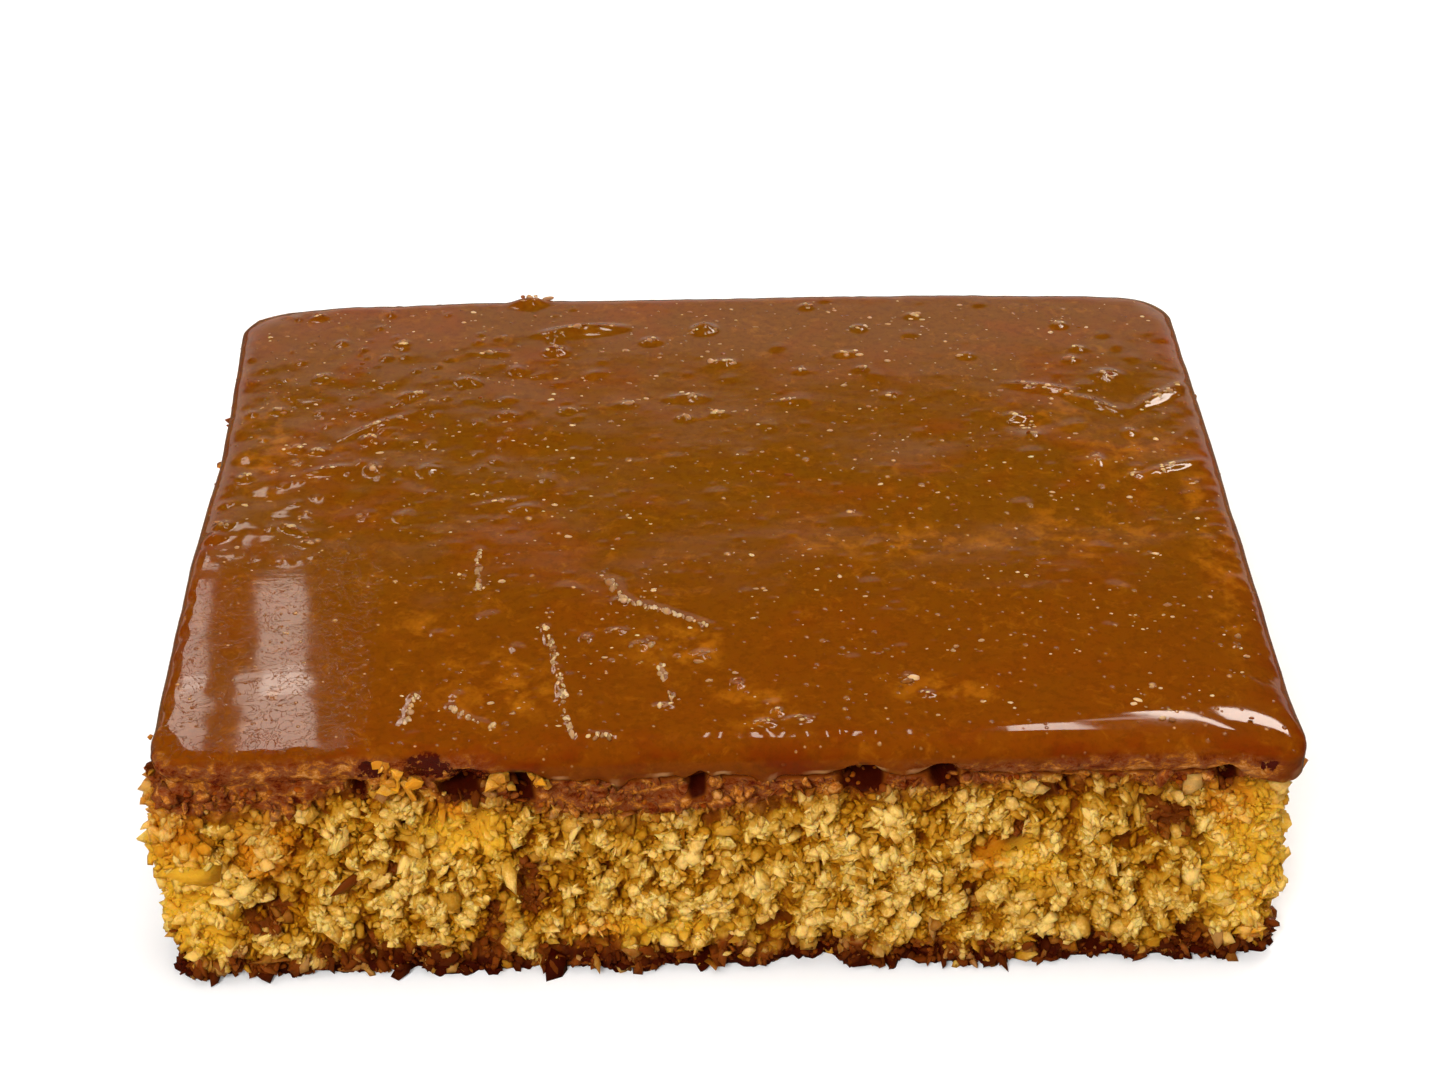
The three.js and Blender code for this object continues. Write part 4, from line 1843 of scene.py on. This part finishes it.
        outer = (row > 0) & (row <= last)
        places = np.column_stack([plan, height])
        flakes = 0.45 * wave(places, 3.2, 242) + 0.3 * wave(places, 1.4, 243)
        wobble = (0.16 * wave(places, 8, 241) + torn * flakes) * (outer * np.sin(angle))
        middle = np.column_stack([edge / np.hypot(*edge.T)[:, None], np.zeros(len(row))])
        front = 1 - step(2, 6, edge[:, 1] + self.outline.half_y)
        pits = cover(GLAZE_PITS, places) * outer * front
        places += middle * (np.clip(wobble, -0.5, 0.25) - self.pit_depth * pits)[:, None]

        side = np.minimum(self.outline.half_x - np.abs(plan[:, 0]), self.outline.half_y - np.abs(plan[:, 1]))
        inner = row > last
        lower = step(0.35, 0.9, row / self.roll_rows) * (row > 0)
        frayed = step(18, 24, edge[:, 0]) * (1 - step(60, 63, edge[:, 0])) * front
        fringe = mix(0.92, 0.72, step(32, 44, edge[:, 0]))
        frayed *= step(fringe, fringe + 0.28, row / self.roll_rows + 0.14 * wave(edge, 2.2, 263))
        # Painted highlight: a pale lip along the lower edge at the front.
        lip = (row > last - 3) * (row <= last) * front * (1 - torn) * step(-0.1, 0.3, wave(edge, 3.0, 262))
        cracked = (1 - step(-45, -40, plan[:, 0])) * (1 - 0.6 * step(-44, -30, plan[:, 1]))
        return places, {
            "warm": np.clip(0.55 * (1 - step(0, 6, side)) + 0.4 * lower, 0, 1),
            "russet": 0.7 * (1 - step(-46, 4, plan[:, 1])),
            "torn": np.clip(torn * lower + 0.8 * frayed + 0.9 * inner, 0, 1),
            "thin": np.max([patch.at(plan) for patch in THIN_PATCHES], axis=0),
            # The lip's painted highlight.
            "crest_and_glint": 0.5 * lip,
            # The inside of the lower edge is darkened as painted shade, like the pits.
            "pit": np.maximum(pits, 0.8 * inner),
            "calm": np.maximum(self.mirror(plan), 0.7 * self.glassy(edge) * outer),
            "crease": self.mirror(plan) * cracked,
        }


@dataclass(frozen=True)
class GlazeGrains:
    """Grains that push the glaze's skin up into pale beads, thick along the drag marks and on lumps; their
    paleness is partly painted highlight.

    Attributes:
        count: how many are strewn over the top, besides those of marks and lumps.
        seed: of the random draws.
        sunk: how deep a grain's middle lies under the skin, as a share of its radius.
        dragged: how the grains of the marks are stretched along each axis.
        flattened: how the others are.
    """

    count: int = 760
    seed: int = 33
    sunk: float = 0.30
    dragged: tuple[float, float, float] = (0.95, 1.5, 0.7)
    flattened: tuple[float, float, float] = (1.55, 1.0, 0.75)

    def strewn(self, glaze: CaramelGlaze, rng: np.random.Generator) -> np.ndarray:
        """Places the grains that are strewn over the top.

        Args:
            glaze: the glaze that they are in.
            rng: the seeded generator.

        Returns:
            Each grain's place on the plan and its radius, three columns.
        """
        half = np.array([glaze.outline.half_x - 4.0, glaze.outline.half_y - 3.5])
        spots = rng.uniform(-1, 1, (6 * self.count, 2)) * half
        share = (0.15 + 0.85 * step(-0.1, 0.5, wave(spots, 8, 271))) * (1 - 0.9 * glaze.mirror(spots))
        share *= 1 - 0.6 * step(0, 35, spots[:, 0]) * (1 - step(0, 12, np.abs(spots[:, 1] + 10)))
        spots = spots[rng.uniform(size=len(spots)) < share][: self.count]
        return np.column_stack([spots, 0.09 + 0.20 * rng.uniform(size=len(spots)) ** 2.6])

    @staticmethod
    def heaped(rng: np.random.Generator) -> np.ndarray:
        """Places the grains that are heaped on the lumps.

        Args:
            rng: the seeded generator.

        Returns:
            Each grain's place on the plan and its radius, three columns.
        """
        rows = []
        for lump in LUMPS:
            count = round(3 + 0.9 * lump.length)
            turn = math.radians(lump.turn)
            along = rng.normal(0, 0.17 * lump.length, count)
            aside = rng.normal(0.08 * lump.width, 0.14 * lump.width, count)
            x = lump.x + along * math.cos(turn) - aside * math.sin(turn)
            y = lump.y + along * math.sin(turn) + aside * math.cos(turn)
            rows.append(np.column_stack([x, y, rng.uniform(0.12, 0.34, count)]))
        return np.vstack(rows)

    def build(self, glaze: CaramelGlaze, material: bpy.types.Material) -> bpy.types.Object:
        """Strews the grains and joins them.

        Args:
            glaze: the glaze that they are in.
            material: the caramel finish.

        Returns:
            The object.
        """
        rng = np.random.default_rng(self.seed)
        marks = np.vstack([fold.beads(rng) for fold in FOLDS])
        rows = np.vstack([self.strewn(glaze, rng), self.heaped(rng), marks])
        radii = rows[:, 2]
        centres = np.column_stack([rows[:, :2], glaze.crown(rows[:, :2]) - self.sunk * radii])
        grains = Pebble.cut(2).copies(centres, radii, rng, 0.28, 0.13)
        mark = (np.arange(len(rows)) >= len(rows) - len(marks))[:, None]
        widths = np.where(mark, self.dragged, self.flattened)
        grains.points = grains.each(centres) + grains.offsets * grains.each(widths)
        # Painted highlight: how pale each grain is, partly standing in for glints.
        marked, strewn = rng.uniform(0.10, 0.95, len(rows)), rng.uniform(0, 1, len(rows)) ** 1.3
        pale = np.where(mark[:, 0], marked, strewn)
        none = np.zeros(len(grains.points))
        attributes = {name: none for name in ("russet", "torn", "thin", "pit", "calm", "crease")}
        attributes["warm"] = grains.each(rng.uniform(0, 1, len(rows)))
        attributes["crest_and_glint"] = grains.each(pale)
        return Piece("glaze_grains", "caramel", attributes=attributes).from_copies(grains, material)


# The studio.

DAYLIGHT = (1.0, 0.90, 0.80)


@dataclass(frozen=True)
class Softbox:
    """A rectangular light.

    Attributes:
        name: its name.
        place: where it hangs, in metres.
        target: the point that it looks at.
        size: its width and height.
        radiance: its brightness.
        colour: its colour.
        mirrored: whether it shows in gloss, or else lights things up.
        lean: how far it is turned in its own plane, in degrees.
    """

    name: str
    place: tuple[float, float, float]
    target: tuple[float, float, float]
    size: tuple[float, float]
    radiance: float
    colour: Colour = (1.0, 1.0, 1.0)
    mirrored: bool = False
    lean: float = 0.0

    @classmethod
    def ceiling(
        cls, number: int, place: tuple[float, float], size: tuple[float, float], radiance: float
    ) -> "Softbox":
        """A pane of light overhead that shows in the glaze.

        Args:
            number: tells it from the others.
            place: where it hangs, to the right and back.
            size: its width and depth.
            radiance: its brightness.

        Returns:
            The light.
        """
        return cls(f"ceiling_{number}", (*place, 0.80), (*place, 0.0), size, radiance, DAYLIGHT, True)

    @classmethod
    def window(
        cls,
        number: int,
        place: tuple[float, float],
        size: tuple[float, float],
        radiance: float,
        aim: float,
        lean: float,
    ) -> "Softbox":
        """A pane of a window behind the cake, which shows in the glaze's calm corner.

        Args:
            number: tells it from the others.
            place: where it stands, to the right and up.
            size: its width and height.
            radiance: its brightness.
            aim: how far to the right the point lies that it looks at.
            lean: how far it is turned in its own plane, in degrees.

        Returns:
            The light.
        """
        middle = (place[0], 0.761, place[1])
        return cls(f"window_{number}", middle, (aim, -0.035, 0.031), size, radiance, DAYLIGHT, True, lean)

    def hang(self) -> None:
        """Adds the light to the scene."""
        light = bpy.data.lights.new(self.name, "AREA")
        light.shape = "RECTANGLE"
        light.size, light.size_y = self.size
        light.energy = self.radiance * math.pi * self.size[0] * self.size[1]
        light.color = self.colour
        thing = bpy.data.objects.new(self.name, light)
        thing.location = self.place
        aim = (Vector(self.target) - Vector(self.place)).to_track_quat("-Z", "Y")
        thing.rotation_euler = (aim @ Quaternion((0, 0, 1), math.radians(self.lean))).to_euler()
        thing.visible_glossy = self.mirrored
        thing.visible_diffuse = not self.mirrored
        bpy.context.collection.objects.link(thing)


@dataclass(frozen=True)
class RoomFinish:
    """The white room. In the cake's gloss it is dim, with a paler band low down.

    Attributes:
        seen: its colour to the camera.
        fill: its colour for the light that it throws on the cake.
        dark: its colour in gloss.
        band: the band's colour in gloss, at its top.
        band_foot: the same at its foot.
    """

    seen: Colour = (1.0, 1.0, 1.0)
    fill: Colour = (0.22, 0.21, 0.20)
    dark: Colour = (0.030, 0.022, 0.014)
    band: Colour = (0.46, 0.39, 0.36)
    band_foot: Colour = (0.70, 0.61, 0.54)

    def world(self) -> bpy.types.World:
        """Builds the surroundings."""
        made = bpy.data.worlds.new("room")
        made.use_nodes = True
        sheet = NodeSheet(made.node_tree)
        rays = sheet.add("LightPath").outputs
        direction = sheet.add("TexCoord").outputs["Generated"]
        axes = sheet.add("SeparateXYZ", Vector=direction).outputs
        level = sheet.maths("ADD", axes["Z"], sheet.times(axes["X"], axes["X"]))
        band = sheet.times(sheet.span(level, 0.585, 0.505), sheet.span(axes["Y"], 0.30, 0.75))
        low = sheet.blend(sheet.span(axes["Z"], 0.42, 0.15), self.band, self.band_foot)
        mirrored = sheet.blend(band, self.dark, low)
        shade = sheet.blend(rays["Is Camera Ray"], self.fill, self.seen)
        shade = sheet.blend(rays["Is Glossy Ray"], shade, mirrored)
        background = sheet.add("Background", Color=shade, Strength=1.0)
        sheet.add("OutputWorld", Surface=background.outputs[0])
        return made


@dataclass
class Studio:
    """Floor, lights, surroundings and camera.

    Attributes:
        camera_place: in metres, in the cake's frame.
        camera_tilt: how far down the camera looks, in degrees.
        camera_turn: how far it is turned about the vertical, in degrees.
        focal_pixels: focal length in pixels of the picture.
        picture_width: in pixels.
        sensor: width of the camera's sensor in millimetres.
        near: from how far away the camera sees, in metres.
        floor_reach: how far the table top goes to each side, in metres.
        softboxes: the lights.
    """

    camera_place: tuple[float, float, float] = (-0.0076, -0.3067, 0.2320)
    camera_tilt: float = 34.0
    camera_turn: float = -1.5
    focal_pixels: float = 2898.0
    picture_width: float = 1440.0
    sensor: float = 36.0
    near: float = 0.01
    floor_reach: float = 4.0

    softboxes: tuple[Softbox, ...] = (
        Softbox("front_key", (-0.28, -0.70, 0.62), (0.0, -0.03, 0.02), (0.36, 0.30), 20.0),
        Softbox("overhead", (0.0, -0.05, 0.90), (0.0, 0.0, 0.0), (0.30, 0.30), 7.0),
        Softbox("ceiling_fill", (0.230, 0.30, 0.84), (0.230, 0.30, 0.0), (0.16, 0.5), 14.0, DAYLIGHT),
        Softbox.ceiling(1, (0.050, 0.30), (0.030, 0.30), 9.0),
        Softbox.ceiling(2, (0.177, 0.32), (0.040, 0.24), 11.0),
        Softbox.ceiling(3, (0.218, 0.47), (0.034, 0.05), 3.0),
        Softbox.ceiling(4, (0.250, 0.44), (0.028, 0.34), 15.0),
        Softbox.ceiling(5, (0.520, 0.60), (0.420, 0.17), 14.0),
        Softbox("sky", (0.0, 0.0, 2.4), (0.0, 0.0, 0.0), (4.0, 4.0), 0.40),
        Softbox("rear_fill", (-0.10, 0.90, 0.11), (0.0, 0.0, 0.015), (0.60, 0.20), 4.5),
        Softbox("right_fill", (0.90, 0.10, 0.11), (0.0, 0.0, 0.015), (0.50, 0.20), 2.6),
        Softbox.window(1, (-0.268, 0.616), (0.022, 0.094), 3.5, -0.06, -11.6),
        Softbox.window(2, (-0.292, 0.722), (0.034, 0.104), 4.2, -0.06, -11.6),
        Softbox.window(3, (-0.209, 0.622), (0.030, 0.094), 3.7, -0.05, -5.6),
        Softbox.window(4, (-0.2235, 0.728), (0.048, 0.104), 4.4, -0.05, -5.6),
    )

    def build(self) -> None:
        """Adds everything and stages the floor."""
        self.floor()
        for softbox in self.softboxes:
            softbox.hang()
        bpy.context.scene.world = RoomFinish().world()
        self.camera()
        bpy.context.scene.view_settings.view_transform = "Standard"
        bpy.context.scene.view_settings.look = "None"

    def floor(self) -> None:
        """Lays the table top."""
        mesh = bmesh.new()
        bmesh.ops.create_grid(mesh, x_segments=8, y_segments=8, size=self.floor_reach)
        data = bpy.data.meshes.new("table_top")
        mesh.to_mesh(data)
        mesh.free()
        data.materials.append(FloorFinish().material())
        thing = bpy.data.objects.new("table_top", data)
        bpy.context.collection.objects.link(thing)

    def camera(self) -> None:
        """Sets the camera at the photograph's viewing angle."""
        data = bpy.data.cameras.new("camera")
        data.sensor_width = self.sensor
        data.lens = self.focal_pixels / self.picture_width * self.sensor
        data.clip_start = self.near
        thing = bpy.data.objects.new("camera", data)
        thing.location = self.camera_place
        thing.rotation_euler = (math.radians(90 - self.camera_tilt), 0.0, math.radians(self.camera_turn))
        bpy.context.collection.objects.link(thing)
        bpy.context.scene.camera = thing


def drifts(block: CrumbBlock) -> list[GrainDrift]:
    """Plans the grains on the walls: three kinds at the front, and three stretches round the rest.

    Args:
        block: the crumb block that they stick to.

    Returns:
        The drifts, in the order of their building.
    """
    start, end = block.reach(Wall.FRONT)
    around = np.linspace(*block.reach(Wall.REAR), 4)
    made = [
        GrainDrift("crumb_grains_front", start, end, 9000, 0.46, 1),
        GrainDrift("crumb_grit_front", start, end, 6500, 0.27, 2),
        GrainDrift("crumb_chips_front", start, end, 600, 0.52, 9, 0.14),
    ]
    for number, side in enumerate(("right", "back", "left")):
        stretch = around[number : number + 2]
        made.append(GrainDrift(f"crumb_grains_{side}", *stretch, 8400, 0.45, 3 + number))
    return made


# How far inside the solids' box the walls and the rim stand, and how round their corners are.
INSET = 0.1
CRUMB_CORNER = 4.8
GLAZE_CORNER = 4.6
# How far over the cake's top the glaze's underside and its corners lie.
GLAZE_UNDER = 0.3
GLAZE_TOP = 3.1


def main() -> None:
    """Builds the cake and its studio in order."""
    logging.basicConfig(level=logging.INFO, format="%(message)s")
    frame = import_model()
    log.info("frame nodes: %s", ", ".join(frame["nodes"]))

    glaze_low, glaze_high = (np.array(corner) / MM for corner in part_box(GLAZE_NODE))
    _, cake_high = (np.array(corner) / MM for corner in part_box(CAKE_NODE))
    half_x, half_y, _ = (glaze_high - glaze_low) / 2 - INSET

    Studio().build()
    crumb = CrumbFinish().material()
    block = CrumbBlock(Outline(half_x, half_y, CRUMB_CORNER), cake_high[2])
    cake = [block.build(wall, crumb) for wall in Wall]
    cake += [drift.build(block, crumb) for drift in drifts(block)]
    cake += [cluster.build(crumb) for cluster in CLUSTERS]
    cake.append(LooseCrumbs().build(block, crumb))
    for piece in cake:
        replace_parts(piece, CAKE_NODE)
    SyrupDrops().build(block, SyrupFinish().material())
    rim = Outline(half_x, half_y, GLAZE_CORNER)
    glaze = CaramelGlaze(rim, cake_high[2] + GLAZE_TOP, cake_high[2] + GLAZE_UNDER)
    caramel = CaramelFinish().material()
    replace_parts(glaze.build(caramel), GLAZE_NODE)
    GlazeGrains().build(glaze, caramel)


if __name__ == "__main__":
    main()
